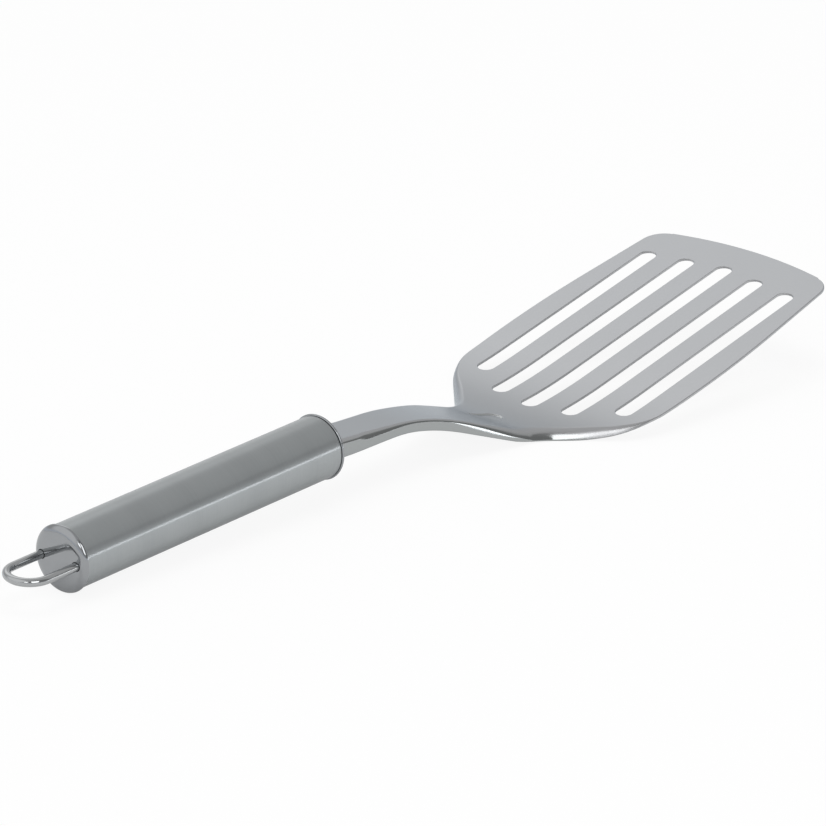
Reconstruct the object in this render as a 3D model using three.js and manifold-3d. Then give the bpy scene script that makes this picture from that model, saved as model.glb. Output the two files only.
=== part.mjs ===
// Slotted kitchen turner: a blade and shank pressed from one sheet, held in a capped tube handle.
// Millimetres. The handle's axis runs along X towards the blade, Y is across the blade and Z is up.
// The whole tool lies on its heel and on the rim of its rear cap, with Z = 0 at the surface below.
import * as THREE from 'three';
import { mergeVertices } from 'three/addons/utils/BufferGeometryUtils.js';
import Module from 'manifold-3d';

// Handle tube and its two caps
const HANDLE_LENGTH = 123;
const TUBE_RADIUS = 11;
const TUBE_WALL = 0.5;
const COLLAR_WALL = 0.5;
const COLLAR_LENGTH = 7;
const COLLAR_FIT = 0.25;
const FRONT_RIM_RADIUS = 11.5;
const FRONT_CAP_SHEET = 0.9;
const FRONT_EDGE_CHAMFER = 0.3;
const REAR_RIM_RADIUS = 11.5;
const REAR_CAP_SHEET = 1.1;
const REAR_CAP_DOME = 0.4;
const REAR_EDGE_WIDTH = 2.4;
const REAR_EDGE_DEPTH = 1.6;
const SEAT_GAP = 0.2;

// Hanging loop of bent wire
const WIRE_RADIUS = 1.45;
const LOOP_HALF_WIDTH = 7.5;
const LOOP_LEG = 14.8;
const LOOP_STUB = 1.3;
const WIRE_FIT = 0.2;
const LEG_WELD_WALL = 0.35;
const LEG_WELD_CROWN = 1;

// Side view of the sheet: lengths along it and its slopes, from the front cap to the tip
const SHEET = 1;
const SHANK_TOP = 3.9;
const SHANK_RUN = 47.6;
const SHANK_SLOPE = 6.1;
const CREST_EASE = 18;
const DROP_RUN = 57.9;
const DROP_SLOPE = 21.2;
const HEEL_EASE_BEFORE = 19;
const HEEL_EASE_AFTER = 40;
const BLADE_RUN = 141.3;
const BLADE_SLOPE = 10.15;
const TANG_LENGTH = 13;
const TANG_BEND = 4;
const TANG_EASE = 3;

// Plan of the sheet: half widths, and lengths along the sheet from the crest, the heel or the tip
const SHANK_HALF = 8.3;
const NECK_FROM_CREST = 2.5;
const NECK_EASE = 12;
const SHOULDER_BEFORE_HEEL = 6.5;
const SHOULDER_HALF = 19.4;
const SHOULDER_EASE = 6;
const SIDE_AFTER_HEEL = 19.5;
const SIDE_HALF = 43.2;
const SIDE_EASE = 12;
const SIDE_BOW_AFTER_HEEL = 66;
const SIDE_BOW_HALF = 45.2;
const SIDE_BOW_EASE = 30;
const TIP_HALF = 40.6;
const TIP_CORNER_RADIUS = 9.5;
const TIP_EDGE_RADIUS = 145;

// Turned-down rim along the shank and round the shoulders
const RIM_AT_CAP = 6.2;
const RIM_AT_NECK = 4;
const RIM_TAPER = 40;
const RIM_FADE_AFTER_HEEL = 3;
const RIM_FADE_LENGTH = 24;
const ROLL_SHANK = 1.3;
const ROLL_SHOULDER = 8;
const ROLL_WIDEN_BEFORE_HEEL = 14;
const ROLL_EDGE = 0.5;
const ROLL_DEPTH_SHARE = 0.6;
const RIM_DRAFT = 0.8;

// Stiffening groove pressed into the neck
const GROOVE_TIP_BEFORE_HEEL = 4;
const GROOVE_LENGTH = 32;
const GROOVE_NOSE = 9;
const GROOVE_HALF = 4.6;
const GROOVE_FLOOR_SHARE = 0.75;
const GROOVE_DEPTH = 0.9;

// Slots through the blade
const SLOTS_EACH_SIDE = 2;
const SLOT_PITCH = 15.6;
const SLOT_WIDTH = 6.6;
const SLOT_NEAR_AFTER_HEEL = 7.8;
const SLOT_NEAR_RADIUS = 42.6;
const SLOT_FAR_BEFORE_TIP = 13.9;
const SLOT_FAR_STEP = 2.4;
const SLOT_CUT_HEIGHT = 24;

// Weld bead between the tang and the front cap
const TANG_WELD_LENGTH = 12;
const TANG_WELD_LEG = 1.6;
const WELD_BULGE = 0.7;

// Facets, and how far a cutter runs past the faces that it cuts
const ROUND_STEPS = 56;
const SMALL_ROUND_STEPS = 24;
const DOME_STEPS = 6;
const EDGE_STEPS = 5;
const WIRE_SIDES = 7;
const WIRE_STEPS = 40;
const OUTLINE_STEP = 3.4;
const FLAT_STRIDE = 4;
const CORNER_STEPS = 8;
const GROOVE_STEPS = 5;
const GROOVE_STEPS_REACH = 1.2;
const GROOVE_STEPS_LIMIT = 0.8;
const FLAT_STEPS = 4;
const ROLL_STEPS = 4;
const SLOT_END_STEPS = 10;
const WELD_STEPS = 6;
const HALVINGS = 50;
const CUT_PAST = 1;

const wasm = await Module();
wasm.setup();

const { degToRad, lerp, smoothstep } = THREE.MathUtils;
const tubeInside = TUBE_RADIUS - TUBE_WALL;
const collarOutside = tubeInside - COLLAR_FIT;
const collarInside = collarOutside - COLLAR_WALL;

// A closed geometry with shared corners merged and its faces turned outwards.
function closed(geometry) {
  const bare = geometry.index ? geometry.toNonIndexed() : geometry.clone();
  bare.deleteAttribute('normal');
  bare.deleteAttribute('uv');
  const merged = mergeVertices(bare, 1e-4);
  const at = merged.getAttribute('position');
  const corner = (i) => new THREE.Vector3().fromBufferAttribute(at, i);
  const faces = [];
  let volume = 0;
  for (let i = 0; i < merged.index.count; i += 3) {
    const [a, b, c] = [0, 1, 2].map((k) => merged.index.getX(i + k));
    if (a !== b && b !== c && c !== a) {
      faces.push([a, b, c]);
      volume += corner(a).dot(corner(b).cross(corner(c)));
    }
  }
  merged.setIndex(faces.flatMap(([a, b, c]) => (volume > 0 ? [a, b, c] : [a, c, b])));
  return merged;
}

function toSolid(geometry) {
  const ready = closed(geometry);
  return new wasm.Manifold(new wasm.Mesh({
    numProp: 3,
    vertProperties: Float32Array.from(ready.getAttribute('position').array),
    triVerts: Uint32Array.from(ready.index.array),
  }));
}

function toGeometry(solid) {
  const mesh = solid.getMesh();
  const geometry = new THREE.BufferGeometry();
  geometry.setAttribute('position', new THREE.BufferAttribute(Float32Array.from(mesh.vertProperties), 3));
  geometry.setIndex(Array.from(mesh.triVerts));
  return geometry;
}

// A geometry with tool geometries cut out of it.
function cut(geometry, tools) {
  const left = tools.reduce((solid, tool) => solid.subtract(toSolid(tool)), toSolid(geometry));
  return toGeometry(left);
}

// A body turned about the handle's axis from [radius, place along the axis] pairs.
function turned(profile, steps = ROUND_STEPS) {
  const points = profile.map(([radius, along]) => new THREE.Vector2(radius, along));
  return closed(new THREE.LatheGeometry(points, steps).rotateZ(-Math.PI / 2));
}

// A path of straight runs, with each corner [x, y, before, after] eased over a length on either side.
function easedPath(corners) {
  const points = corners.map(([x, y]) => new THREE.Vector2(x, y));
  const path = new THREE.Path();
  path.moveTo(points[0].x, points[0].y);
  for (let i = 1; i < points.length - 1; i += 1) {
    const corner = points[i];
    const [, , before, after = before] = corners[i];
    const into = points[i - 1].clone().sub(corner).setLength(before).add(corner);
    const out = points[i + 1].clone().sub(corner).setLength(after).add(corner);
    path.lineTo(into.x, into.y);
    path.quadraticCurveTo(corner.x, corner.y, out.x, out.y);
  }
  path.lineTo(points.at(-1).x, points.at(-1).y);
  return path;
}

// Side view of the sheet's upper face: tang, shank, drop to the heel, and the rising blade.
function sideCorners() {
  const shank = degToRad(SHANK_SLOPE);
  const drop = degToRad(DROP_SLOPE);
  const rise = degToRad(BLADE_SLOPE);
  const bend = [-TANG_BEND, SHANK_TOP + TANG_BEND * Math.tan(shank)];
  const crest = [SHANK_RUN * Math.cos(shank), SHANK_TOP - SHANK_RUN * Math.sin(shank)];
  const heel = [crest[0] + DROP_RUN * Math.cos(drop), crest[1] - DROP_RUN * Math.sin(drop)];
  const tip = [heel[0] + BLADE_RUN * Math.cos(rise), heel[1] + BLADE_RUN * Math.sin(rise)];
  return [
    [bend[0] - TANG_LENGTH, bend[1]],
    [...bend, TANG_EASE],
    [...crest, CREST_EASE],
    [...heel, HEEL_EASE_BEFORE, HEEL_EASE_AFTER],
    tip,
  ];
}

// Lengths along the sheet, counted from the end of the tang, of the places that the plan refers to.
function landmarks(path) {
  const [, tangBend, shankEnd, crestEnd, dropEnd, heelEnd, tip] = path.getCurveLengths();
  const heel = lerp(dropEnd, heelEnd, HEEL_EASE_BEFORE / (HEEL_EASE_BEFORE + HEEL_EASE_AFTER));
  return {
    cap: tangBend + TANG_BEND - TANG_EASE,
    crest: (shankEnd + crestEnd) / 2,
    heel,
    rimFade: heel + RIM_FADE_AFTER_HEEL,
    rimEnd: heel + RIM_FADE_AFTER_HEEL + RIM_FADE_LENGTH,
    tip,
  };
}

const sideView = sideCorners();
const sidePath = easedPath(sideView);
const sheetAt = landmarks(sidePath);

// The point of the sheet at a length along it, a distance across it and a height over its upper face.
function onSheet(along, across, height) {
  const share = along / sheetAt.tip;
  const at = sidePath.getPointAt(share);
  const run = sidePath.getTangentAt(share);
  return new THREE.Vector3(at.x - run.y * height, across, at.y + run.x * height);
}

// Front edge: where it lies along the sheet at a distance from the middle line.
function frontEdge(across) {
  const centre = sheetAt.tip - TIP_EDGE_RADIUS;
  return centre + Math.sqrt(TIP_EDGE_RADIUS ** 2 - across ** 2);
}

// Half outline of the sheet from the tang to the front edge, as stations for the loft. The last
// stations lead the middle of the sheet forward until it follows the curved front edge.
function outlineStations() {
  const slope = Math.atan2(SIDE_BOW_HALF - TIP_HALF, sheetAt.tip - sheetAt.heel - SIDE_BOW_AFTER_HEEL);
  const centreHalf = TIP_HALF - TIP_CORNER_RADIUS * Math.cos(slope);
  const reach = TIP_EDGE_RADIUS - TIP_CORNER_RADIUS;
  const centreAlong = sheetAt.tip - TIP_EDGE_RADIUS + Math.sqrt(reach ** 2 - centreHalf ** 2);
  const cornerStart = centreAlong + TIP_CORNER_RADIUS * Math.sin(slope);
  const cornerEnd = Math.PI / 2 - Math.asin(centreHalf / reach);
  const path = easedPath([
    [0, SHANK_HALF],
    [sheetAt.crest + NECK_FROM_CREST, SHANK_HALF, NECK_EASE],
    [sheetAt.heel - SHOULDER_BEFORE_HEEL, SHOULDER_HALF, SHOULDER_EASE],
    [sheetAt.heel + SIDE_AFTER_HEEL, SIDE_HALF, SIDE_EASE],
    [sheetAt.heel + SIDE_BOW_AFTER_HEEL, SIDE_BOW_HALF, SIDE_BOW_EASE],
    [cornerStart, TIP_HALF],
  ]);
  const flatStart = Math.max(sheetAt.heel + HEEL_EASE_AFTER, sheetAt.rimEnd);
  const strides = Math.round(path.getLength() / OUTLINE_STEP / FLAT_STRIDE);
  const stations = path.getSpacedPoints(strides * FLAT_STRIDE)
    .filter((point, i) => point.x < flatStart || i % FLAT_STRIDE === 0)
    .map((point) => ({ along: point.x, half: point.y, lead: 0 }));
  for (let i = 1; i <= CORNER_STEPS; i += 1) {
    const lead = i / CORNER_STEPS;
    const angle = lerp(Math.PI / 2 - slope, Math.PI / 2 - cornerEnd, lead);
    stations.push({
      along: centreAlong + TIP_CORNER_RADIUS * Math.cos(angle),
      half: centreHalf + TIP_CORNER_RADIUS * Math.sin(angle),
      lead,
    });
  }
  return stations;
}

// Depth of the turned-down rim below the upper face.
function rimDepth(along) {
  const taper = smoothstep(along - sheetAt.cap, 0, RIM_TAPER);
  const fade = smoothstep(along, sheetAt.rimFade, sheetAt.rimEnd);
  return lerp(lerp(RIM_AT_CAP, RIM_AT_NECK, taper), SHEET, fade);
}

// Width of the rounding between the upper face and the rim: it is widest on the shoulders.
function rollWidth(along) {
  const widen = smoothstep(along - sheetAt.heel, -ROLL_WIDEN_BEFORE_HEEL, RIM_FADE_AFTER_HEEL);
  const fade = smoothstep(along, sheetAt.rimFade, sheetAt.rimEnd);
  return lerp(lerp(ROLL_SHANK, ROLL_SHOULDER, widen), ROLL_EDGE, fade);
}

// How deep the groove in the neck is at a place on the sheet: a tongue with a round nose.
function grooveDepth(along, across) {
  const tip = sheetAt.heel - GROOVE_TIP_BEFORE_HEEL;
  const nose = Math.max(0, (along - tip + GROOVE_NOSE) / GROOVE_NOSE);
  const side = Math.abs(across) / GROOVE_HALF;
  const wall = 1 - smoothstep(Math.hypot(nose, side), GROOVE_FLOOR_SHARE, 1);
  const start = smoothstep(along, tip - GROOVE_LENGTH, tip - GROOVE_NOSE);
  return GROOVE_DEPTH * wall * start;
}

// Places across half a section, from the middle line to a limit: closer together over the groove.
function spread(limit) {
  const near = Math.min(GROOVE_HALF * GROOVE_STEPS_REACH, limit * GROOVE_STEPS_LIMIT);
  return [
    ...Array.from({ length: GROOVE_STEPS + 1 }, (_, i) => (near * i) / GROOVE_STEPS),
    ...Array.from({ length: FLAT_STEPS }, (_, i) => lerp(near, limit, (i + 1) / FLAT_STEPS)),
  ];
}

// Half of one section of the sheet, from the middle line to the rim: its outer and its inner side
// have the same number of points, each [across, height].
function halfSection(along, half) {
  const depth = rimDepth(along);
  const width = rollWidth(along);
  const rollDepth = Math.min(width, depth * ROLL_DEPTH_SHARE);
  const outer = spread(half - width).map((q) => [q, -grooveDepth(along, q)]);
  for (let i = 1; i <= ROLL_STEPS; i += 1) {
    const angle = (i / ROLL_STEPS) * (Math.PI / 2);
    outer.push([half - width + width * Math.sin(angle), -rollDepth * (1 - Math.cos(angle))]);
  }
  outer.push([half, -depth]);
  const rimInside = half - SHEET;
  const flatEnd = Math.min(half - width, rimInside - RIM_DRAFT);
  const innerFall = Math.min(rollDepth, depth - SHEET);
  const inner = spread(flatEnd).map((q) => [q, -SHEET - grooveDepth(along, q)]);
  for (let i = 1; i <= ROLL_STEPS; i += 1) {
    const angle = (i / ROLL_STEPS) * (Math.PI / 2);
    inner.push([lerp(flatEnd, rimInside, Math.sin(angle)), -SHEET - innerFall * (1 - Math.cos(angle))]);
  }
  inner.push([rimInside, -depth]);
  return { outer, inner };
}

// The pressed sheet before its slots are cut: sections joined along the outline.
function pressedSheet() {
  const stations = outlineStations();
  const endHalf = stations.at(-1).half;
  const rings = stations.map(({ along, half, lead }) => {
    const { outer, inner } = halfSection(along, half);
    const place = ([across, height]) => {
      const bulge = frontEdge(Math.min(Math.abs(across), endHalf)) - frontEdge(endHalf);
      return onSheet(Math.min(along + lead * bulge, sheetAt.tip), across, height);
    };
    const across = (side) => [
      ...side.slice(1).reverse().map(([q, h]) => [-q, h]),
      ...side,
    ].map(place);
    return { top: across(outer), under: across(inner) };
  });
  const quads = [];
  const last = rings[0].top.length - 1;
  for (let k = 0; k + 1 < rings.length; k += 1) {
    const [a, b] = [rings[k], rings[k + 1]];
    for (let i = 0; i < last; i += 1) {
      quads.push([a.top[i], b.top[i], b.top[i + 1], a.top[i + 1]]);
      quads.push([a.under[i + 1], b.under[i + 1], b.under[i], a.under[i]]);
    }
    quads.push([a.under[0], b.under[0], b.top[0], a.top[0]]);
    quads.push([a.top[last], b.top[last], b.under[last], a.under[last]]);
  }
  const ends = [rings[0], rings.at(-1)];
  ends.forEach(({ top, under }, end) => {
    for (let i = 0; i < last; i += 1) {
      const face = [top[i], top[i + 1], under[i + 1], under[i]];
      quads.push(end === 0 ? face : face.reverse());
    }
  });
  const corners = quads.flatMap(([a, b, c, d]) => [a, b, c, a, c, d]);
  return closed(new THREE.BufferGeometry().setFromPoints(corners));
}

// One slot as a cutter: a bar with round ends, square to the blade.
function slotCutter(index) {
  const across = index * SLOT_PITCH;
  const radius = SLOT_WIDTH / 2;
  const arc = SLOT_NEAR_RADIUS - Math.sqrt(SLOT_NEAR_RADIUS ** 2 - across ** 2);
  const near = sheetAt.heel + SLOT_NEAR_AFTER_HEEL + arc - sheetAt.tip + radius;
  const far = -SLOT_FAR_BEFORE_TIP - SLOT_FAR_STEP * Math.abs(index) - radius;
  const shape = new THREE.Shape();
  shape.absarc(near, across, radius, Math.PI / 2, 1.5 * Math.PI, false);
  shape.absarc(far, across, radius, -Math.PI / 2, Math.PI / 2, false);
  const options = { depth: SLOT_CUT_HEIGHT, bevelEnabled: false, curveSegments: SLOT_END_STEPS };
  const rise = degToRad(BLADE_SLOPE);
  const [tipX, tipZ] = sideView.at(-1);
  return new THREE.ExtrudeGeometry(shape, options)
    .translate(0, 0, -SLOT_CUT_HEIGHT / 2)
    .rotateY(-rise)
    .translate(tipX, 0, tipZ);
}

function bladeGeometry() {
  const cutters = [];
  for (let i = -SLOTS_EACH_SIDE; i <= SLOTS_EACH_SIDE; i += 1) {
    cutters.push(slotCutter(i));
  }
  return cut(pressedSheet(), cutters);
}

const tubeFront = -FRONT_CAP_SHEET - SEAT_GAP;
const tubeRear = -HANDLE_LENGTH + SEAT_GAP;

function tubeGeometry() {
  return turned([
    [tubeInside, tubeRear],
    [TUBE_RADIUS, tubeRear],
    [TUBE_RADIUS, tubeFront],
    [tubeInside, tubeFront],
    [tubeInside, tubeRear],
  ]);
}

// Front cap: a disc with a rim and a collar, cut by a slot that follows the sheet's section.
function frontCapGeometry() {
  const disc = turned([
    [0, 0],
    [FRONT_RIM_RADIUS - FRONT_EDGE_CHAMFER, 0],
    [FRONT_RIM_RADIUS, -FRONT_EDGE_CHAMFER],
    [FRONT_RIM_RADIUS, -FRONT_CAP_SHEET],
    [collarOutside, -FRONT_CAP_SHEET],
    [collarOutside, -FRONT_CAP_SHEET - COLLAR_LENGTH],
    [collarInside, -FRONT_CAP_SHEET - COLLAR_LENGTH],
    [collarInside, -FRONT_CAP_SHEET],
    [0, -FRONT_CAP_SHEET],
  ]);
  const half = SHANK_HALF + COLLAR_FIT;
  const inside = SHANK_HALF - SHEET - RIM_DRAFT - COLLAR_FIT;
  const top = SHANK_TOP + COLLAR_FIT;
  const bottom = SHANK_TOP - RIM_AT_CAP - COLLAR_FIT;
  const under = SHANK_TOP - SHEET - COLLAR_FIT;
  const slot = new THREE.Shape([
    [-half, bottom], [-inside, bottom], [-inside, under], [inside, under],
    [inside, bottom], [half, bottom], [half, top], [-half, top],
  ].map(([y, z]) => new THREE.Vector2(y, z)));
  const depth = FRONT_CAP_SHEET + 2 * CUT_PAST;
  const cutter = new THREE.ExtrudeGeometry(slot, { depth, bevelEnabled: false })
    .translate(0, 0, CUT_PAST - depth)
    .rotateX(Math.PI / 2)
    .rotateZ(Math.PI / 2);
  return cut(disc, [cutter]);
}

// Rear cap: a shallow dome with a rounded edge, a collar inside the tube and two holes for the wire.
function rearCapGeometry() {
  const seat = -HANDLE_LENGTH;
  const flat = REAR_RIM_RADIUS - REAR_EDGE_WIDTH;
  const dome = (radius) => REAR_CAP_DOME * (1 - (radius / REAR_RIM_RADIUS) ** 2);
  const profile = [];
  for (let i = 0; i <= DOME_STEPS; i += 1) {
    const radius = (flat * i) / DOME_STEPS;
    profile.push([radius, seat - REAR_EDGE_DEPTH - dome(radius)]);
  }
  for (let i = 1; i <= EDGE_STEPS; i += 1) {
    const angle = (i / EDGE_STEPS) * (Math.PI / 2);
    const radius = flat + REAR_EDGE_WIDTH * Math.sin(angle);
    profile.push([radius, seat - REAR_EDGE_DEPTH * Math.cos(angle) - dome(radius)]);
  }
  profile.push([collarOutside, seat], [collarOutside, seat + COLLAR_LENGTH]);
  profile.push([collarInside, seat + COLLAR_LENGTH], [collarInside, seat]);
  profile.push([0, profile[0][1] + REAR_CAP_SHEET]);
  return cut(turned(profile), [-1, 1].map((side) => legHole(side)));
}

function legHole(side) {
  const radius = WIRE_RADIUS + WIRE_FIT;
  const from = -HANDLE_LENGTH - REAR_EDGE_DEPTH - REAR_CAP_DOME - CUT_PAST;
  const to = -HANDLE_LENGTH + CUT_PAST;
  return new THREE.CylinderGeometry(radius, radius, to - from, SMALL_ROUND_STEPS)
    .rotateZ(Math.PI / 2)
    .translate((from + to) / 2, side * LOOP_HALF_WIDTH, 0);
}

// The loop's middle line: a leg, a half circle and the other leg.
class LoopCurve extends THREE.Curve {
  getPoint(share, target = new THREE.Vector3()) {
    const leg = LOOP_LEG + LOOP_STUB;
    const arc = Math.PI * LOOP_HALF_WIDTH;
    const run = share * (2 * leg + arc);
    const front = -HANDLE_LENGTH + LOOP_STUB;
    if (run < leg) {
      return target.set(front - run, LOOP_HALF_WIDTH, 0);
    }
    if (run > leg + arc) {
      return target.set(front - (2 * leg + arc - run), -LOOP_HALF_WIDTH, 0);
    }
    const angle = (run - leg) / LOOP_HALF_WIDTH;
    const x = front - leg - LOOP_HALF_WIDTH * Math.sin(angle);
    return target.set(x, LOOP_HALF_WIDTH * Math.cos(angle), 0);
  }
}

function loopGeometry() {
  const section = new THREE.Shape();
  section.absarc(0, 0, WIRE_RADIUS, 0, 2 * Math.PI, false);
  const options = { steps: WIRE_STEPS, extrudePath: new LoopCurve(), curveSegments: WIRE_SIDES };
  return closed(new THREE.ExtrudeGeometry(section, options));
}

// A weld nugget over the end of one leg, inside the rear cap.
function legWeldGeometry(side) {
  const seat = -HANDLE_LENGTH + SEAT_GAP;
  const socket = WIRE_RADIUS + WIRE_FIT;
  const outside = socket + LEG_WELD_WALL;
  const end = -HANDLE_LENGTH + LOOP_STUB + WIRE_FIT;
  const crown = end + LEG_WELD_CROWN;
  return turned([
    [0, end], [socket, end], [socket, seat], [outside, seat],
    [outside, end], [outside * WELD_BULGE, lerp(end, crown, WELD_BULGE)], [0, crown],
  ], SMALL_ROUND_STEPS).translate(0, side * LOOP_HALF_WIDTH, 0);
}

// A weld bead across the top of the tang, in the corner that it makes with the front cap.
function tangWeldGeometry() {
  const shape = new THREE.Shape();
  shape.moveTo(0, 0);
  shape.lineTo(-TANG_WELD_LEG, 0);
  const bulge = TANG_WELD_LEG * WELD_BULGE;
  shape.quadraticCurveTo(-bulge, bulge, 0, TANG_WELD_LEG);
  const options = { depth: TANG_WELD_LENGTH, bevelEnabled: false, curveSegments: WELD_STEPS };
  const tangTop = sideView[1][1];
  return closed(new THREE.ExtrudeGeometry(shape, options)
    .rotateX(Math.PI / 2)
    .translate(-FRONT_CAP_SHEET - SEAT_GAP, TANG_WELD_LENGTH / 2, tangTop + SEAT_GAP));
}

const satin = new THREE.MeshStandardMaterial({ color: 0xb6b7ba, roughness: 0.38, metalness: 1 });
const brushed = new THREE.MeshStandardMaterial({ color: 0xa2a6a9, roughness: 0.32, metalness: 1 });
const polished = new THREE.MeshStandardMaterial({ color: 0xc4c6c8, roughness: 0.12, metalness: 1 });
const welded = new THREE.MeshStandardMaterial({ color: 0x8d8c8a, roughness: 0.6, metalness: 1 });

const tool = new THREE.Group();

function addPiece(name, geometry, material) {
  const mesh = new THREE.Mesh(geometry, material);
  mesh.name = name;
  tool.add(mesh);
  return mesh;
}

const blade = addPiece('turner_blade', bladeGeometry(), satin);
addPiece('handle_tube', tubeGeometry(), brushed);
addPiece('front_cap', frontCapGeometry(), polished);
const rearCap = addPiece('rear_cap', rearCapGeometry(), polished);
addPiece('hanging_loop', loopGeometry(), polished);
addPiece('tang_weld', tangWeldGeometry(), welded);
addPiece('loop_weld_left', legWeldGeometry(1), welded);
addPiece('loop_weld_right', legWeldGeometry(-1), welded);

// Lowest height of a piece once the tool is tipped up at its front by an angle.
function lowest(mesh, tip) {
  const at = mesh.geometry.getAttribute('position');
  let low = Infinity;
  for (let i = 0; i < at.count; i += 1) {
    low = Math.min(low, at.getX(i) * Math.sin(tip) + at.getZ(i) * Math.cos(tip));
  }
  return low;
}

// Tip at which the heel and the rim of the rear cap come down on one level, found by halving.
function restingTip() {
  let [from, to] = [-Math.PI / 4, Math.PI / 4];
  for (let i = 0; i < HALVINGS; i += 1) {
    const middle = (from + to) / 2;
    if (lowest(blade, middle) < lowest(rearCap, middle)) {
      from = middle;
    } else {
      to = middle;
    }
  }
  return (from + to) / 2;
}

tool.rotation.y = -restingTip();
tool.updateMatrixWorld(true);
const box = new THREE.Box3().setFromObject(tool, true);
const centre = box.getCenter(new THREE.Vector3());
tool.position.set(-centre.x, -centre.y, -box.min.z);

const turner = new THREE.Group();
turner.add(tool);
export default turner;
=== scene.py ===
"""Dresses a slotted steel turner: smooth pieces on the loaded frame, their finishes and a plain studio."""
import math

import bmesh
import bpy
import numpy as np
from bpy.props import FloatProperty, FloatVectorProperty, IntProperty, PointerProperty
from bpy.types import Operator, Panel, PropertyGroup
from mathutils import Matrix, Vector


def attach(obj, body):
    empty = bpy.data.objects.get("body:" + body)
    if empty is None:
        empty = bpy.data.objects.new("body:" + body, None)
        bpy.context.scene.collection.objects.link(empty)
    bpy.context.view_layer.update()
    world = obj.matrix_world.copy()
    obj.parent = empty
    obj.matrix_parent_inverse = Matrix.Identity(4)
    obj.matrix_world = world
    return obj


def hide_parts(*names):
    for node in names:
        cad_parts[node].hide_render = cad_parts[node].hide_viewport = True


bl_info = {
    "name": "Slotted turner",
    "version": (1, 0, 0),
    "blender": (4, 5, 0),
    "location": "3D View > Sidebar > Turner",
    "description": "Builds the dressed pieces of a slotted steel turner and a studio to picture it in",
    "category": "Object",
}

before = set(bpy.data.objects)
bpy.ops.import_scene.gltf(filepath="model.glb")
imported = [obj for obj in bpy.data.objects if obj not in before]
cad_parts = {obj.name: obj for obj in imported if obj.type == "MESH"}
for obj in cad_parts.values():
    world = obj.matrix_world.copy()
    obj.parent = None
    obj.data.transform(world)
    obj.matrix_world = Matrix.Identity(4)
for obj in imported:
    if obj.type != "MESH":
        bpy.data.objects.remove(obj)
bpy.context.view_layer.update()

MM = 0.001

# Close distances and steps of the meshes
MERGE_DISTANCE = 1e-7
SCORE_DISTANCE = 1e-6
EASE_STEPS = 48
ROUND_STEPS = 160
CORNER_STEPS = 14
FLAT_STEPS = 16
TONGUE_STEPS = 60
TONGUE_REACH = 8 * MM
ROLL_STEPS = 9
BAND_STEPS = 4
FLANK_STEPS = 4
FACE_STEPS = 4
RIM_STEPS = BAND_STEPS + FLANK_STEPS + FACE_STEPS
EDGE_STEPS = 3
PUNCH_SIDES = 48
DOME_STEPS = 24
WIRE_STEPS = 150
WIRE_SIDES = 32
FINE_STEP = 1 * MM
NOSE_STEP = 0.3 * MM
COARSE_STEP = 4 * MM

# Limits that tell crisp edges, walls and flat faces apart
SHARP_ANGLE = math.radians(38)
FACE_UPRIGHT = 0.995
WALL_UPRIGHT = 0.9

# Shares of a height or width: the narrow rows that keep an edge crisp, and the most that one form takes
CRISP_SHARE = 0.02
MOST_SHARE = 0.9

# Values that the sheet's corners keep for its finish; the last is the mask of its polish and of its painted
# shade
KEPT_VALUES = ("along", "across", "height", "polish_and_shade")

# Grain of the finishes, in cells of noise to a metre, and its rise
SHEET_GRAIN = (120, 2600, 600)
SHEET_CLOUD = 45
TUBE_LINES = (3200, 45, 45)
TUBE_BANDS = (90, 12, 12)
BUFF_SWIRL = 900
BUFF_CLOUD = 140
BEAD_RIPPLE = 1500
BEAD_TINT = 260
GRAIN_RISE = 0.02 * MM
RIPPLE_RISE = 0.1 * MM

# Directions of the lamps, in degrees round from +X and up from the horizon
KEY_LIGHT = (237.5, 29)
SIDE_LIGHT = (203, 26)
STRIP_LIGHT = (-47, 3.5)
TOP_LIGHT = (60, 85)

# Round areas of the studio: their direction, and the cosines off it where they end and where they are full
WINDOW = (62, 42, 0.9, 0.98)
SHEEN = (46, 3, 0.93, 0.99)
BACK_WALL = (152, 34, 0.72, 0.9)
DARK_CORNER = (-100, 15, 0.62, 0.74)
LOW_DARK = (-50, 14, 0.8, 0.9)

# Heights in the studio, as sines, between which the horizon ends, the dark starts and the low dark ends
HORIZON_RISE = (0.04, 0.2)
DARK_FOOT = (0.07, 0.1)
LOW_DARK_TOP = (0.36, 0.46)

FLOOR_REACH = 10.0
FLOOR_DROP = 0.05 * MM


# Properties

def size(name, millimetres, description):
    """A length that a user may change, given in millimetres."""
    return FloatProperty(name=name, description=description, default=millimetres * MM, unit="LENGTH",
                         precision=5)


def angle(name, degrees, description):
    """An angle that a user may change, given in degrees."""
    return FloatProperty(name=name, description=description, default=math.radians(degrees), subtype="ANGLE")


def share(name, default, description):
    """A share between nothing and the whole."""
    return FloatProperty(name=name, description=description, default=default, min=0, max=1,
                         subtype="FACTOR")


def level(name, default, description):
    """A brightness, where 1 is the level of white paper."""
    return FloatProperty(name=name, description=description, default=default, min=0)


def colour(name, values, description):
    """A colour that a user may change."""
    return FloatVectorProperty(name=name, description=description, default=values, size=3, subtype="COLOR",
                               min=0, max=1)


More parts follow.
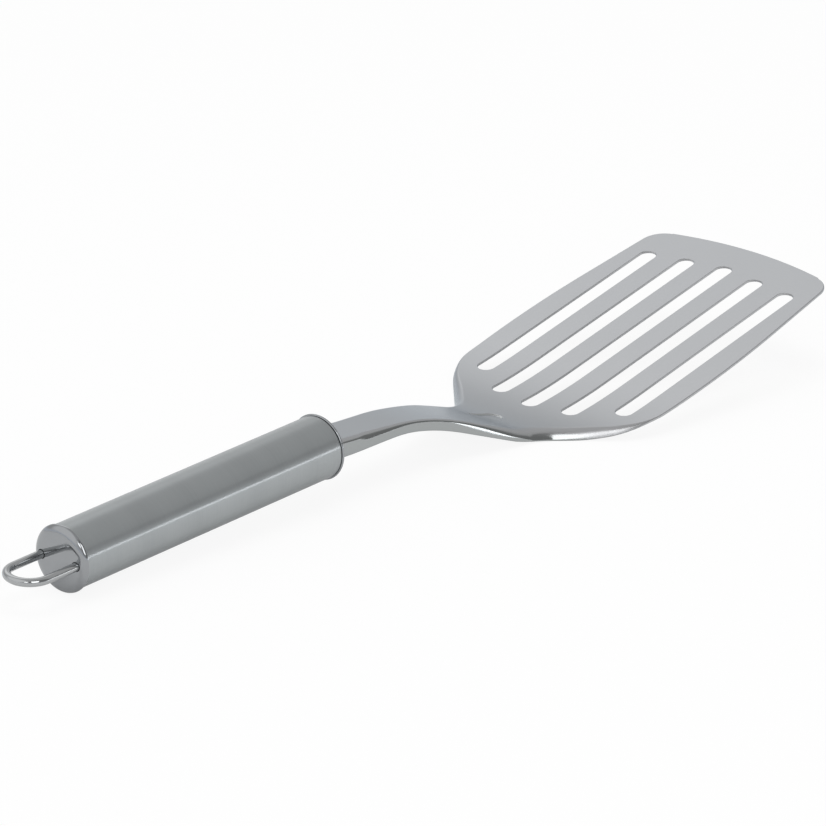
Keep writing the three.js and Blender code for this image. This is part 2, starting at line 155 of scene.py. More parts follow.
class BladeSizes(PropertyGroup):
    """Sizes of the pressed sheet: tang, shank, heel and slotted blade."""

    sheet: size("Sheet", 1, "Thickness of the sheet")
    shank_top: size("Shank top", 3.9, "Height of the shank's upper face over the axis at the front cap")
    shank_run: size("Shank run", 47.6, "Length of the shank from the front cap to the crest")
    shank_slope: angle("Shank slope", 6.1, "Fall of the shank against the handle's axis")
    crest_ease: size("Crest easing", 18, "Length over which the crest bends, to either side")
    drop_run: size("Drop run", 57.9, "Length of the drop from the crest to the heel")
    drop_slope: angle("Drop slope", 21.2, "Fall of the drop against the handle's axis")
    heel_ease_before: size("Heel easing before", 19, "Length over which the heel bends before its corner")
    heel_ease_after: size("Heel easing after", 40, "Length over which the heel bends after its corner")
    blade_run: size("Blade run", 141.3, "Length of the blade from the heel to the tip")
    blade_slope: angle("Blade slope", 10.15, "Rise of the blade against the handle's axis")
    tang_length: size("Tang length", 13, "Length of the tang inside the handle, behind its bend")
    tang_bend: size("Tang bend", 4, "Distance of the tang's bend behind the front cap's face")
    tang_ease: size("Tang easing", 3, "Length over which the tang bends, to either side")
    shank_half: size("Shank half width", 8.3, "Half the width of the shank")
    neck_from_crest: size("Neck start", 2.5, "Distance from the crest to the corner where the neck widens")
    neck_ease: size("Neck easing", 12, "Length over which the neck starts to widen, to either side")
    shoulder_before_heel: size("Shoulder start", 6.5, "Distance of the shoulder's corner before the heel")
    shoulder_half: size("Shoulder half width", 19.4, "Half the width at the shoulder's corner")
    shoulder_ease: size("Shoulder easing", 6, "Length over which the shoulder bends, to either side")
    side_after_heel: size("Side start", 19.5, "Distance of the side's corner after the heel")
    side_half: size("Side half width", 43.2, "Half the width at the side's corner")
    side_ease: size("Side easing", 12, "Length over which the side's corner bends, to either side")
    bow_after_heel: size("Bow place", 66, "Distance after the heel where the sides are widest")
    bow_half: size("Bow half width", 45.2, "Half the width at the corner of the sides' bow")
    bow_ease: size("Bow easing", 30, "Length over which the sides bow, to either side")
    tip_half: size("Tip half width", 40.6, "Half the width where the tip's corners start")
    tip_corner: size("Tip corner radius", 9.5, "Radius of the tip's corners")
    tip_edge: size("Tip edge radius", 145, "Radius of the curved front edge")
    rim_at_cap: size("Rim at the cap", 6.2, "Depth of the turned-down rim at the front cap")
    rim_at_neck: size("Rim at the neck", 4, "Depth of the turned-down rim at the neck")
    rim_taper: size("Rim taper", 40, "Length over which the rim grows shallow from the cap")
    rim_fade_after: size("Rim fade start", 3, "Distance after the heel where the rim starts to fade")
    rim_fade_length: size("Rim fade length", 24, "Length over which the rim fades")
    roll_shank: size("Roll on the shank", 1.3, "Width of the under side's rounding on the shank")
    roll_shoulder: size("Roll on the shoulder", 8, "Width of the under side's rounding on the shoulders")
    roll_widen_before: size("Roll widening", 14, "Distance before the heel where that rounding widens")
    rim_draft: size("Rim draft", 0.8, "How far the rim's inner face leans in at its root")
    roll_edge: size("Roll at the edge", 0.5, "Width of the rounding along the blade's edge")
    bend_cap: size("Bend at the cap", 2, "Radius of the upper bend over the rim at the front cap")
    bend_shank: size("Bend on the shank", 1, "Radius of the upper bend on the shank")
    bend_shoulder: size("Bend on the shoulder", 5.2, "Radius of the upper bend on the shoulders")
    bend_widen: size("Bend widening", 42, "Distance before the heel where the upper bend starts to widen")
    bend_turn: angle("Bend turn", 57, "Turn of the upper bend, where the slanted band starts")
    band_turn: angle("Band turn", 69, "Turn of the slanted band at its lower end")
    flank_top: angle("Flank top turn", 76.8, "Turn of the neck's soft flank at its upper end")
    flank_turn: angle("Flank turn", 79, "Turn of the neck's soft flank at its lower end")
    rim_turn: angle("Rim turn", 82, "Turn of the rim's face at its upper end")
    foot_turn: angle("Foot turn", 88, "Turn of the rim's face at its foot")
    band_shank: size("Band on the shank", 0.4, "Height of the slanted band on the shank")
    band_neck: size("Band at the neck", 0.9, "Height of the slanted band where its rise starts")
    band_rise: size("Band rise", 17, "Length before the heel over which the slanted band grows")
    band_shoulder: size("Band on the shoulder", 2.5, "Most height of the slanted band on the shoulders")
    band_start: size("Band start", 20, "Distance after the crest where the band starts to grow")
    swell_after_cap: size("Swell place", 13, "Distance after the cap where the band swells")
    swell_lead: size("Swell lead", 2, "Distance before its place where the swell starts")
    swell_full: size("Swell fullness", 3, "Distance after its place where the swell is full")
    swell_length: size("Swell length", 30, "Length over which the swell runs out")
    swell: size("Swell", 1, "Extra height of the band at its swell")
    flank: size("Flank", 1.2, "Height of the soft flank below the band on the neck")
    flank_start: size("Flank start", 8, "Distance after the crest where the flank starts")
    flank_full: size("Flank fullness", 24, "Distance after the crest where the flank has its full height")
    flank_fade: size("Flank fade", 30, "Distance before the heel where the flank starts to run out")
    flank_end: size("Flank end", 12, "Distance before the heel where the flank is gone")
    # The mask that these sizes shape gives real gloss, and also darkens the rim's colour as painted shade
    polish_and_shade_start: share("Polish start", 0.3, "Share of the upper bend's fall where the polish starts")
    polish_and_shade_past: share("Polish fullness", 0.4, "Share of that fall below the bend where the polish is full")
    polish_and_shade_lead: size("Polish lead", 1, "Distance before the heel where the polish starts to fade")
    polish_and_shade_length: size("Polish length", 10, "Length after the heel over which the rim's polish fades")
    foot_round: size("Foot rounding", 0.55, "Rounding of the rim's foot on the shoulders")
    roll_depth: share("Roll depth", 0.6, "Most of the rim's depth that the under side's rounding takes")
    edge_round: size("Edge rounding", 0.25, "Rounding of the sheet's cut edges")
    slot_round: size("Slot rounding", 0.12, "Easing of the slots' edges")
    tongue_before_heel: size("Tongue place", 6.5, "Distance before the heel of the tongue's round nose")
    tongue_length: size("Tongue length", 15, "Length of the shallow tongue pressed into the neck")
    tongue_nose: size("Tongue nose", 4.2, "Radius of the tongue's nose")
    tongue_flare: share("Tongue flare", 0.35, "Widening of the tongue away from its nose")
    tongue_wall: size("Tongue wall", 0.55, "Width of the tongue's side wall")
    tongue_depth: size("Tongue depth", 0.44, "Depth of the tongue")
    slots: IntProperty(name="Slots", description="Slots through the blade", default=5, min=1)
    slot_pitch: size("Slot pitch", 15.6, "Distance between the middle lines of two slots")
    slot_width: size("Slot width", 6.6, "Width of a slot")
    slot_after_heel: size("Slot start", 7.8, "Distance of the middle slot's near end after the heel")
    slot_arc: size("Slot arc", 42.6, "Radius of the arc that the slots' near ends lie on")
    slot_before_tip: size("Slot end", 13.9, "Distance of the middle slot's far end before the tip")
    slot_step: size("Slot step", 2.4, "How much earlier each outer slot ends")


class HandleSizes(PropertyGroup):
    """Sizes of the tube and its two caps."""

    length: size("Length", 123, "Length of the handle from the front cap's face to the rear cap's seat")
    tube_radius: size("Tube radius", 11, "Outer radius of the tube")
    tube_wall: size("Tube wall", 0.5, "Wall of the tube")
    collar_wall: size("Collar wall", 0.5, "Wall of the collars that the caps have inside the tube")
    collar_length: size("Collar length", 7, "Length of the collars")
    fit: size("Fit", 0.25, "Clearance of the collars in the tube and of the shank in its slot")
    front_rim: size("Front rim", 11.5, "Radius of the front cap's rim")
    front_sheet: size("Front sheet", 0.9, "Thickness of the front cap")
    rear_rim: size("Rear rim", 11.5, "Radius of the rear cap's rim")
    rear_sheet: size("Rear sheet", 1.1, "Thickness of the rear cap")
    rear_dome: size("Rear dome", 0.9, "Height of the rear cap's dome")
    rear_edge_width: size("Rear edge width", 3.2, "Width of the rear cap's rounded edge")
    rear_edge_depth: size("Rear edge depth", 1.6, "Depth of the rear cap's rounded edge")
    seat_gap: size("Seat gap", 0.2, "Gap between the tube and each cap")
    edge_round: size("Edge rounding", 0.15, "Rounding of the tube's cut edges")


class LoopSizes(PropertyGroup):
    """Sizes of the bent wire."""

    wire: size("Wire radius", 1.45, "Radius of the wire")
    half_width: size("Half width", 7.5, "Half the distance between the middle lines of the legs")
    leg: size("Leg", 14.8, "Length of the legs behind the rear cap's seat")
    stub: size("Stub", 1.3, "Length of the legs in front of the rear cap's seat")
    fit: size("Fit", 0.2, "Clearance of the legs in their holes")


class Finishes(PropertyGroup):
    """Colours and gloss of the steel."""

    satin: colour("Satin sheet", (0.47, 0.475, 0.485), "Colour of the sheet's satin faces")
    satin_edge: colour("Satin edge tint", (0.78, 0.83, 0.87), "Tint of the sheet seen at a low angle")
    # The rim's colour is darker than the satin: partly the polished steel's own colour, partly painted shade
    # of the floor it mirrors
    polish_and_shade: colour("Polished rim", (0.37, 0.385, 0.385), "Colour of the sheet's polished rim")
    brushed: colour("Brushed tube", (0.385, 0.405, 0.412), "Colour of the brushed tube")
    cap: colour("Caps", (0.335, 0.346, 0.357), "Colour of the polished caps")
    wire: colour("Wire", (0.42, 0.43, 0.435), "Colour of the polished wire")
    bead: colour("Weld bead", (0.27, 0.265, 0.255), "Colour of the dull weld beads")
    bead_tint: colour("Weld tint", (0.351, 0.3445, 0.3315), "Colour of the beads where heat tints them")
    satin_gloss: share("Satin roughness", 0.34, "Roughness of the satin faces")
    rim_gloss: share("Rim roughness", 0.1, "Roughness of the polished rim")
    brushed_gloss: share("Brushed roughness", 0.15, "Roughness of the brushed tube's crisp shine")
    brushed_haze: share("Brushed haze", 0.45, "Roughness of the brushed tube's soft haze")
    haze_share: share("Haze share", 0.7, "Share of the haze in the tube's shine")
    polish_gloss: share("Polished roughness", 0.1, "Roughness of the caps and the wire")
    bead_gloss: share("Weld roughness", 0.6, "Roughness of the weld beads")


class StageSizes(PropertyGroup):
    """Camera, light and floor."""

    azimuth: angle("Azimuth", 309.1406, "Direction that the camera looks from, round the object")
    elevation: angle("Elevation", 20.5111, "Height of the camera over the horizon")
    roll: angle("Roll", 3.0246, "Turn of the camera about its own line of sight")
    distance: size("Distance", 1737.378, "Distance of the camera from the point that it looks at")
    lens: FloatProperty(name="Lens", description="Focal length in millimetres", default=222.276, min=1)
    aim: FloatVectorProperty(name="Aim", description="Point that the camera looks at", size=3,
                             default=(0.0012603, -0.0005093, 0.0173647), subtype="XYZ", unit="LENGTH")
    floor_colour: colour("Floor", (0.78, 0.78, 0.78), "Colour of the floor")
    floor_white: share("Floor white", 0.9, "Share of plain white that the camera sees in the floor")
    floor_shine: share("Floor in the metal", 0.2, "Share of white in the floor that the metal mirrors")
    horizon: colour("Horizon", (0.83, 0.87, 0.93), "Colour of the studio at the horizon")
    wall: level("Wall", 0.62, "Brightness of the studio's walls and ceiling")
    window: level("Window", 1.24, "Brightness of the soft window beyond the blade")
    sheen: share("Low sheen", 0.65, "Strength of the white sheen low beside the window")
    back: level("Back wall", 1.05, "Brightness of the pale wall behind the loop")
    corner: level("Dark corner", 0.3, "Brightness of the studio's dark corner")
    key: level("Key light", 2.5, "Brightness of the two softboxes behind the camera")
    top: level("Top light", 3.0, "Brightness of the softbox overhead, which only lights the floor")
    strip: level("Strip light", 3.0, "Brightness of the low strip of light on the right")


class TurnerSettings(PropertyGroup):
    """Everything that a user may change."""

    blade: PointerProperty(type=BladeSizes)
    handle: PointerProperty(type=HandleSizes)
    loop: PointerProperty(type=LoopSizes)
    finish: PointerProperty(type=Finishes)
    stage: PointerProperty(type=StageSizes)


# Node maths

class Wire:
    """A node's output that Python's operators work on. Each operation adds a node to its tree."""

    def __init__(self, tree, socket=None):
        self.tree = tree
        self.socket = socket

    def node(self, kind, settings=None, inputs=None, output=0):
        """A new node: its settings are set first, then its sockets get their values or links."""
        made = self.tree.nodes.new(kind)
        for name, value in (settings or {}).items():
            setattr(made, name, value)
        for key, value in (inputs or {}).items():
            if isinstance(value, Wire):
                self.tree.links.new(value.socket, made.inputs[key])
            else:
                made.inputs[key].default_value = value
        return Wire(self.tree, made.outputs[output] if len(made.outputs) else None)

    def out(self, name):
        """Another output of the same node."""
        return Wire(self.tree, self.socket.node.outputs[name])

    def math(self, operation, *values):
        """A Math node on plain values and wires, in the order given."""
        return self.node("ShaderNodeMath", {"operation": operation}, dict(enumerate(values)))

    def __add__(self, other):
        return self.math("ADD", self, other)

    __radd__ = __add__

    def __sub__(self, other):
        return self.math("SUBTRACT", self, other)

    def __rsub__(self, other):
        return self.math("SUBTRACT", other, self)

    def __mul__(self, other):
        return self.math("MULTIPLY", self, other)

    __rmul__ = __mul__

    def __truediv__(self, other):
        return self.math("DIVIDE", self, other)

    def __rtruediv__(self, other):
        return self.math("DIVIDE", other, self)

    def ramp(self, low, high):
        """Rises smoothly from 0 at low to 1 at high."""
        settings = {"interpolation_type": "SMOOTHSTEP"}
        return self.node("ShaderNodeMapRange", settings, {"Value": self, "From Min": low, "From Max": high})

    def vector(self, x, y, z):
        """A vector of three values."""
        return self.node("ShaderNodeCombineXYZ", {}, {"X": x, "Y": y, "Z": z})

    def scaled(self, x, y, z):
        """A vector output whose three values are multiplied by a number each."""
        parts = self.node("ShaderNodeSeparateXYZ", {}, {0: self}, "X")
        return self.vector(parts * x, parts.out("Y") * y, parts.out("Z") * z)

    def blend(self, factor, first, second):
        """A colour between two colours."""
        return self.node("ShaderNodeMix", {"data_type": "RGBA"}, {0: factor, 6: first, 7: second}, 2)

    def toned(self, values):
        """A colour made lighter or darker by this tone, which lies about 1."""
        settings = {"data_type": "RGBA", "blend_type": "MULTIPLY"}
        tones = self.vector(self, self, self)
        return self.node("ShaderNodeMix", settings, {0: 1.0, 6: opaque(values), 7: tones}, 2)

    def swing(self, amount):
        """Noise about one half, moved to swing about 0 by an amount."""
        return (self - 0.5) * amount

    def noise(self, vector, scale=1.0, detail=3.0):
        """Smooth noise about a middle of one half."""
        return self.node("ShaderNodeTexNoise", {}, {"Vector": vector, "Scale": scale, "Detail": detail})


def opaque(values):
    """A colour with full alpha."""
    return (*values, 1.0)


# Shared frame of the handle

def node_points(name):
    """The corners of a frame node's mesh as an array."""
    return np.array([corner.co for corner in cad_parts[name].data.vertices])


def handle_frame():
    """The handle's own frame: X along its axis to the blade, and its origin at the front cap's face."""
    tube = node_points("handle_tube")
    axes = np.linalg.eigh(np.cov(tube.T))[1]
    axis = axes[:, -1] * np.sign(axes[0, -1])
    middle = tube.mean(axis=0)
    front = ((node_points("front_cap") - middle) @ axis).max()
    along = Vector(axis)
    across = Vector((0, 1, 0))
    turn = Matrix((along, across, along.cross(across))).transposed()
    return Matrix.Translation(Vector(middle + front * axis)) @ turn.to_4x4()


HANDLE = handle_frame()
HANDLE_TIP = math.atan2(HANDLE[2][0], HANDLE[0][0])


# Mesh helpers

def closed_mesh(name, points, faces):
    """A mesh whose corners that share a place are merged and whose faces point out."""
    shape = bmesh.new()
    corners = [shape.verts.new(point) for point in points]
    for face in faces:
        shape.faces.new([corners[place] for place in face])
    bmesh.ops.remove_doubles(shape, verts=shape.verts, dist=MERGE_DISTANCE)
    bmesh.ops.recalc_face_normals(shape, faces=shape.faces)
    mesh = bpy.data.meshes.new(name)
    shape.to_mesh(mesh)
    shape.free()
    return mesh


def ring_faces(rings, count):
    """Faces between rings of a count of corners each, where every ring closes on itself."""
    faces = []
    for low in range(0, (rings - 1) * count, count):
        high = low + count
        for step in range(count):
            after = (step + 1) % count
            faces.append((low + step, low + after, high + after, high + step))
    return faces


def turned_mesh(name, profile, steps=ROUND_STEPS):
    """A mesh turned about X from (radius, along) pairs, from axis to axis or closed on themselves."""
    turns = np.linspace(0, 2 * math.pi, steps, endpoint=False)
    points = [(along, -radius * math.sin(turn), radius * math.cos(turn))
              for radius, along in profile for turn in turns]
    return closed_mesh(name, points, ring_faces(len(profile), steps))


def rounded(centre, radius, start, end, steps):
    """Points of an arc of a profile, as (radius, along) pairs, from one angle to another in degrees."""
    turns = np.radians(np.linspace(start, end, steps + 1))
    return [(centre[0] + radius * math.cos(turn), centre[1] + radius * math.sin(turn)) for turn in turns]


def prism_mesh(name, outline, low, high):
    """A mesh of an outline of (across, height) points that runs along X from low to high."""
    count = len(outline)
    points = [(along, *place) for along in (low, high) for place in outline]
    ends = [tuple(range(count)), tuple(range(count, 2 * count))]
    return closed_mesh(name, points, ring_faces(2, count) + ends)


def new_piece(name, mesh):
    """An object for a mesh, in the scene."""
    piece = bpy.data.objects.new(name, mesh)
    bpy.context.scene.collection.objects.link(piece)
    return piece


def bake_modifiers(piece):
    """Puts the plain mesh that a piece's modifiers make in their place."""
    evaluated = piece.evaluated_get(bpy.context.evaluated_depsgraph_get())
    mesh = bpy.data.meshes.new_from_object(evaluated)
    piece.modifiers.clear()
    piece.data = mesh


def cut(piece, cutters):
    """Cuts meshes out of a piece."""
    tools = [new_piece("cutter", mesh) for mesh in cutters]
    for tool in tools:
        piece.modifiers.new("cut", "BOOLEAN").object = tool
    bake_modifiers(piece)
    for tool in tools:
        bpy.data.objects.remove(tool)


def shade(piece):
    """Smooth faces with crisp edges, where large faces lead so that slivers beside a cut don't show."""
    piece.data.shade_smooth()
    piece.data.set_sharp_from_angle(angle=SHARP_ANGLE)
    piece.modifiers.new("normals", "WEIGHTED_NORMAL").keep_sharp = True
    bake_modifiers(piece)


def dress(piece, node, material):
    """Gives a piece its finish and has it stand for a node of the frame."""
    piece.data.materials.clear()
    piece.data.materials.append(material)
    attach(piece, "root")
    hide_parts(node)


# Rule of the pressed sheet

def unit(vector):
    """A vector of length 1."""
    return vector / np.linalg.norm(vector)


def smooth(value, low, high):
    """Rises smoothly from 0 at low to 1 at high."""
    rise = np.clip((value - low) / (high - low), 0, 1)
    return rise * rise * (3 - 2 * rise)


def mixed(first, second, factor):
    """A value between two values."""
    return first + (second - first) * factor


def heading(slope):
    """A step of length 1 that rises at a slope, as (along, height)."""
    return np.array([math.cos(slope), math.sin(slope)])


class EasedPath:
    """A path of straight runs, where each corner (x, y, before, after) is eased over its two lengths."""

    def __init__(self, corners):
        ends = [np.array(corner[:2]) for corner in corners]
        spots = [ends[0]]
        headings = [unit(ends[1] - ends[0])]
        for before, corner, after, easing in zip(ends, ends[1:], ends[2:], corners[1:]):
            into = corner + easing[2] * unit(before - corner)
            out = corner + easing[-1] * unit(after - corner)
            for part in np.linspace(0, 1, EASE_STEPS):
                spots.append((1 - part) ** 2 * into + 2 * part * (1 - part) * corner + part ** 2 * out)
                headings.append(unit((1 - part) * (corner - into) + part * (out - corner)))
        spots.append(ends[-1])
        headings.append(headings[-1])
        self.spots = np.array(spots)
        self.headings = np.array(headings)
        steps = np.linalg.norm(np.diff(self.spots, axis=0), axis=1)
        self.lengths = np.concatenate([[0], np.cumsum(steps)])
        self.length = self.lengths[-1]

    def bend(self, index):
        """Lengths along the path where a corner's easing starts and ends."""
        return self.lengths[1 + index * EASE_STEPS], self.lengths[(index + 1) * EASE_STEPS]

    def at(self, along, values):
        """A value of the path's spots or headings at lengths along it."""
        return np.stack([np.interp(along, self.lengths, column) for column in values.T], axis=-1)


class PressedSheet:
    """The rule that the sheet follows: a straight strip with a rim, bent along its side view.

    A place on the strip is its length along from the tang's end, its distance across from the middle line
    and its height over the upper face.
    """

    def __init__(self, sizes):
        self.sizes = sizes
        self.side = EasedPath(self.side_corners())
        crest = self.side.bend(1)
        heel = self.side.bend(2)
        self.cap = self.side.bend(0)[1] + sizes.tang_bend - sizes.tang_ease
        self.crest = sum(crest) / 2
        self.heel = mixed(*heel, sizes.heel_ease_before / (sizes.heel_ease_before + sizes.heel_ease_after))
        self.tip = self.side.length
        self.rim_fade = self.heel + sizes.rim_fade_after
        self.rim_end = self.rim_fade + sizes.rim_fade_length
        self.flat = max(self.heel + sizes.heel_ease_after, self.rim_end)
        self.slots_half = (sizes.slots - 1) / 2 * sizes.slot_pitch + sizes.slot_width
        slope = math.atan2(sizes.bow_half - sizes.tip_half, self.tip - self.heel - sizes.bow_after_heel)
        reach = sizes.tip_edge - sizes.tip_corner
        self.corner_half = sizes.tip_half - sizes.tip_corner * math.cos(slope)
        self.corner_along = self.tip - sizes.tip_edge + math.sqrt(reach ** 2 - self.corner_half ** 2)
        self.corner_turns = (math.pi / 2 - slope, math.asin(self.corner_half / reach))
        self.plan = EasedPath([
            (0, sizes.shank_half),
            (self.crest + sizes.neck_from_crest, sizes.shank_half, sizes.neck_ease),
            (self.heel - sizes.shoulder_before_heel, sizes.shoulder_half, sizes.shoulder_ease),
            (self.heel + sizes.side_after_heel, sizes.side_half, sizes.side_ease),
            (self.heel + sizes.bow_after_heel, sizes.bow_half, sizes.bow_ease),
            (self.corner_along + sizes.tip_corner * math.sin(slope), sizes.tip_half),
        ])

    def side_corners(self):
        """Corners of the side view of the upper face: tang, crest, heel and tip."""
        sizes = self.sizes
        back = np.array([-sizes.tang_bend, sizes.shank_top + sizes.tang_bend * math.tan(sizes.shank_slope)])
        crest = np.array([0, sizes.shank_top]) + sizes.shank_run * heading(-sizes.shank_slope)
        heel = crest + sizes.drop_run * heading(-sizes.drop_slope)
        tip = heel + sizes.blade_run * heading(sizes.blade_slope)
        return [
            (back[0] - sizes.tang_length, back[1]),
            (*back, sizes.tang_ease),
            (*crest, sizes.crest_ease),
            (*heel, sizes.heel_ease_before, sizes.heel_ease_after),
            tuple(tip),
        ]

    def front_edge(self, across):
        """Length along the sheet of the front edge at a distance from the middle line."""
        return self.tip - self.sizes.tip_edge + np.sqrt(self.sizes.tip_edge ** 2 - across ** 2)

    def stations(self):
        """Sections along the sheet: length, half width, share of the front edge's bulge, and rounding."""
        sizes = self.sizes
        end = self.plan.spots[-1][0]
        nose = self.heel - sizes.tongue_before_heel
        fine = np.arange(0, self.flat, FINE_STEP)
        close = np.arange(nose - 2 * sizes.tongue_nose, nose + FINE_STEP, NOSE_STEP)
        fine = np.unique(np.concatenate([fine[(fine < close[0]) | (fine > close[-1])], close]))
        coarse = np.linspace(self.flat, end, round((end - self.flat) / COARSE_STEP))
        sides = np.concatenate([fine, coarse])
        halves = np.interp(sides, *self.plan.spots.T)
        found = [(along, half, 0, 0) for along, half in zip(sides, halves)]
        for step in range(1, CORNER_STEPS + 1):
            lead = step / CORNER_STEPS
            turn = mixed(*self.corner_turns, lead)
            back = sizes.roll_edge * lead
            found.append((self.corner_along + sizes.tip_corner * math.cos(turn) - back,
                          self.corner_half + sizes.tip_corner * math.sin(turn), lead, 0))
        along, half = found[-1][:2]
        for turn in np.linspace(0, math.pi / 2, ROLL_STEPS)[1:]:
            drop = sizes.roll_edge * (1 - math.cos(turn)) * (1 - sizes.edge_round / sizes.sheet)
            found.append((along + sizes.roll_edge * math.sin(turn), half, 1, drop))
        return found

    def rim_depth(self, along):
        """Depth of the turned-down rim below the upper face."""
        sizes = self.sizes
        taper = smooth(along - self.cap, 0, sizes.rim_taper)
        fade = smooth(along, self.rim_fade, self.rim_end)
        return mixed(mixed(sizes.rim_at_cap, sizes.rim_at_neck, taper), sizes.sheet, fade)

    def widening(self, along, before):
        """How far the shank has turned into the shoulder, and the shoulder's rim into the blade's edge."""
        widen = smooth(along - self.heel, -before, self.sizes.rim_fade_after)
        return widen, smooth(along, self.rim_fade, self.rim_end)

    def roll_width(self, along):
        """Width of the rounding between the under face and the rim."""
        sizes = self.sizes
        widen, fade = self.widening(along, sizes.roll_widen_before)
        return mixed(mixed(sizes.roll_shank, sizes.roll_shoulder, widen), sizes.roll_edge, fade)

    def bend_radius(self, along):
        """Radius of the upper bend over the rim."""
        sizes = self.sizes
        widen, fade = self.widening(along, sizes.bend_widen)
        shank = mixed(sizes.bend_cap, sizes.bend_shank, smooth(along - self.cap, 0, sizes.rim_taper))
        return mixed(mixed(shank, sizes.bend_shoulder, widen), sizes.roll_edge, fade)

    def bend_drop(self, along):
        """Fall of the upper bend."""
        return self.bend_radius(along) * (1 - math.cos(self.sizes.bend_turn))

    def band_and_flank(self, along, spare, fade):
        """Heights of the slanted band and of the soft flank below it, within a spare height of the rim."""
        sizes = self.sizes
        place = along - self.cap - sizes.swell_after_cap
        swell = smooth(place, -sizes.swell_lead, sizes.swell_full)
        swell *= 1 - smooth(place, 0, sizes.swell_length)
        rise = self.heel - sizes.band_rise
        band = mixed(sizes.band_shank, sizes.band_neck, smooth(along, self.crest + sizes.band_start, rise))
        band = mixed(band, sizes.band_shoulder, smooth(along, rise, self.heel))
        band = min((band + sizes.swell * swell) * (1 - fade), MOST_SHARE * spare)
        flank = smooth(along - self.crest, sizes.flank_start, sizes.flank_full)
        flank *= 1 - smooth(along - self.heel, -sizes.flank_fade, -sizes.flank_end)
        return band, min(flank * sizes.flank, MOST_SHARE * (spare - band))

    def rim_rows(self, along, half):
        """The upper side from its bend to the rim's foot, as (across, height) rows, and the rows' width."""
        sizes = self.sizes
        widen, fade = self.widening(along, sizes.roll_widen_before)
        radius = self.bend_radius(along)
        drop = self.bend_drop(along)
        depth = self.rim_depth(along)
        foot = mixed(sizes.edge_round, sizes.foot_round, widen * (1 - fade))
        spare = depth - foot - drop
        band, flank = self.band_and_flank(along, spare, fade)
        turns = np.concatenate([
            np.linspace(sizes.bend_turn, sizes.band_turn, BAND_STEPS + 1)[1:],
            np.linspace(sizes.flank_top, sizes.flank_turn, FLANK_STEPS),
            np.linspace(sizes.rim_turn, sizes.foot_turn, FACE_STEPS),
        ])
        face = spare - band - flank
        crisp = np.array([0, *np.linspace(CRISP_SHARE, 1, FACE_STEPS)])
        falls = np.concatenate([
            np.diff(1 - crisp[::-1]) * band,
            np.full(FLANK_STEPS, flank / FLANK_STEPS),
            np.diff(crisp) * face,
        ])
        steps = falls / np.tan(turns)
        start = half - radius * math.sin(sizes.bend_turn) - steps.sum()
        bends = np.linspace(0, sizes.bend_turn, ROLL_STEPS + 1)[1:]
        edge = np.linspace(0, math.pi / 2, EDGE_STEPS + 1)[1:]
        rows = np.concatenate([
            np.column_stack([start + radius * np.sin(bends), radius * (np.cos(bends) - 1)]),
            np.column_stack([half - steps.sum() + np.cumsum(steps), -drop - np.cumsum(falls)]),
            np.column_stack([half - foot * (1 - np.cos(edge)), foot * (1 - np.sin(edge)) - depth]),
        ])
        return rows, half - start

    def tongue(self, along, across):
        """Depth of the tongue pressed into the neck, and how far a place is on the wall round its nose."""
        sizes = self.sizes
        behind = self.heel - sizes.tongue_before_heel - sizes.tongue_nose - along
        apart = np.hypot(np.minimum(behind, 0), across) - sizes.tongue_flare * np.maximum(behind, 0)
        fade = 1 - smooth(behind, 0, sizes.tongue_length - sizes.tongue_nose)
        sunk = smooth(sizes.tongue_nose - apart, 0, sizes.tongue_wall)
        return sizes.tongue_depth * fade * sunk, 4 * fade * sunk * (1 - sunk)

    def spread(self, limit):
        """Places from the middle line to a limit, closer together over the tongue."""
        near = min(TONGUE_REACH, limit * MOST_SHARE)
        close = np.linspace(0, near, TONGUE_STEPS)[:-1]
        return np.concatenate([close, np.linspace(near, limit, FLAT_STEPS)])

    def half_section(self, along, half):
        """Half a section's upper and under side from the middle line out, as (across, height) rows."""
        sizes = self.sizes
        depth = self.rim_depth(along)
        width = self.roll_width(along)
        roll = min(width, depth * sizes.roll_depth)
        turns = np.linspace(0, math.pi / 2, ROLL_STEPS + 1)[1:]
        edge = np.linspace(0, math.pi / 2, EDGE_STEPS + 1)[1:]
        falls = np.linspace(0, 1, RIM_STEPS + 1)[1:]
        rows, reach = self.rim_rows(along, half)
        flat = self.spread(half - reach)
        top = np.concatenate([np.column_stack([flat, -self.tongue(along, flat)[0]]), rows])
        inside = half - sizes.sheet
        flat_end = min(half - width, inside - sizes.rim_draft)
        spare = max(0, depth - sizes.sheet)
        lip = min(sizes.edge_round, spare / 2)
        fall = min(roll, spare - lip)
        flat = self.spread(flat_end)
        face = -sizes.sheet
        under = np.concatenate([
            np.column_stack([flat, face - self.tongue(along, flat)[0]]),
            np.column_stack([mixed(flat_end, inside, np.sin(turns)), face - fall * (1 - np.cos(turns))]),
            np.column_stack([np.full(RIM_STEPS, inside), mixed(face - fall, lip - depth, falls)]),
            np.column_stack([inside + lip * (1 - np.cos(edge)), lip * (1 - np.sin(edge)) - depth]),
        ])
        return top, under

    def strip(self):
        """The straight strip before its slots are punched."""
        rings = []
        stations = self.stations()
        end_half = stations[-1][1]
        for along, half, lead, drop in stations:
            top, under = self.half_section(along, half)
            top = np.column_stack([top[:, 0], np.minimum(top[:, 1], -drop)])
            under = np.column_stack([under[:, 0], under[:, 1] + drop * (lead == 1)])
            sides = [np.concatenate([(side * (-1, 1))[:0:-1], side]) for side in (top, under)]
            loop = np.concatenate([sides[0], sides[1][::-1]])
            bulge = self.front_edge(np.minimum(abs(loop[:, 0]), end_half)) - self.front_edge(end_half)
            rings.append(np.column_stack([along + lead * bulge, loop]))
        count = len(rings[0])
        faces = ring_faces(len(rings), count)
        for start in (0, (len(rings) - 1) * count):
            end = start + count - 1
            faces += [(start + step, start + step + 1, end - step - 1, end - step)
                      for step in range(count // 2 - 1)]
        return closed_mesh("strip", np.concatenate(rings), faces)

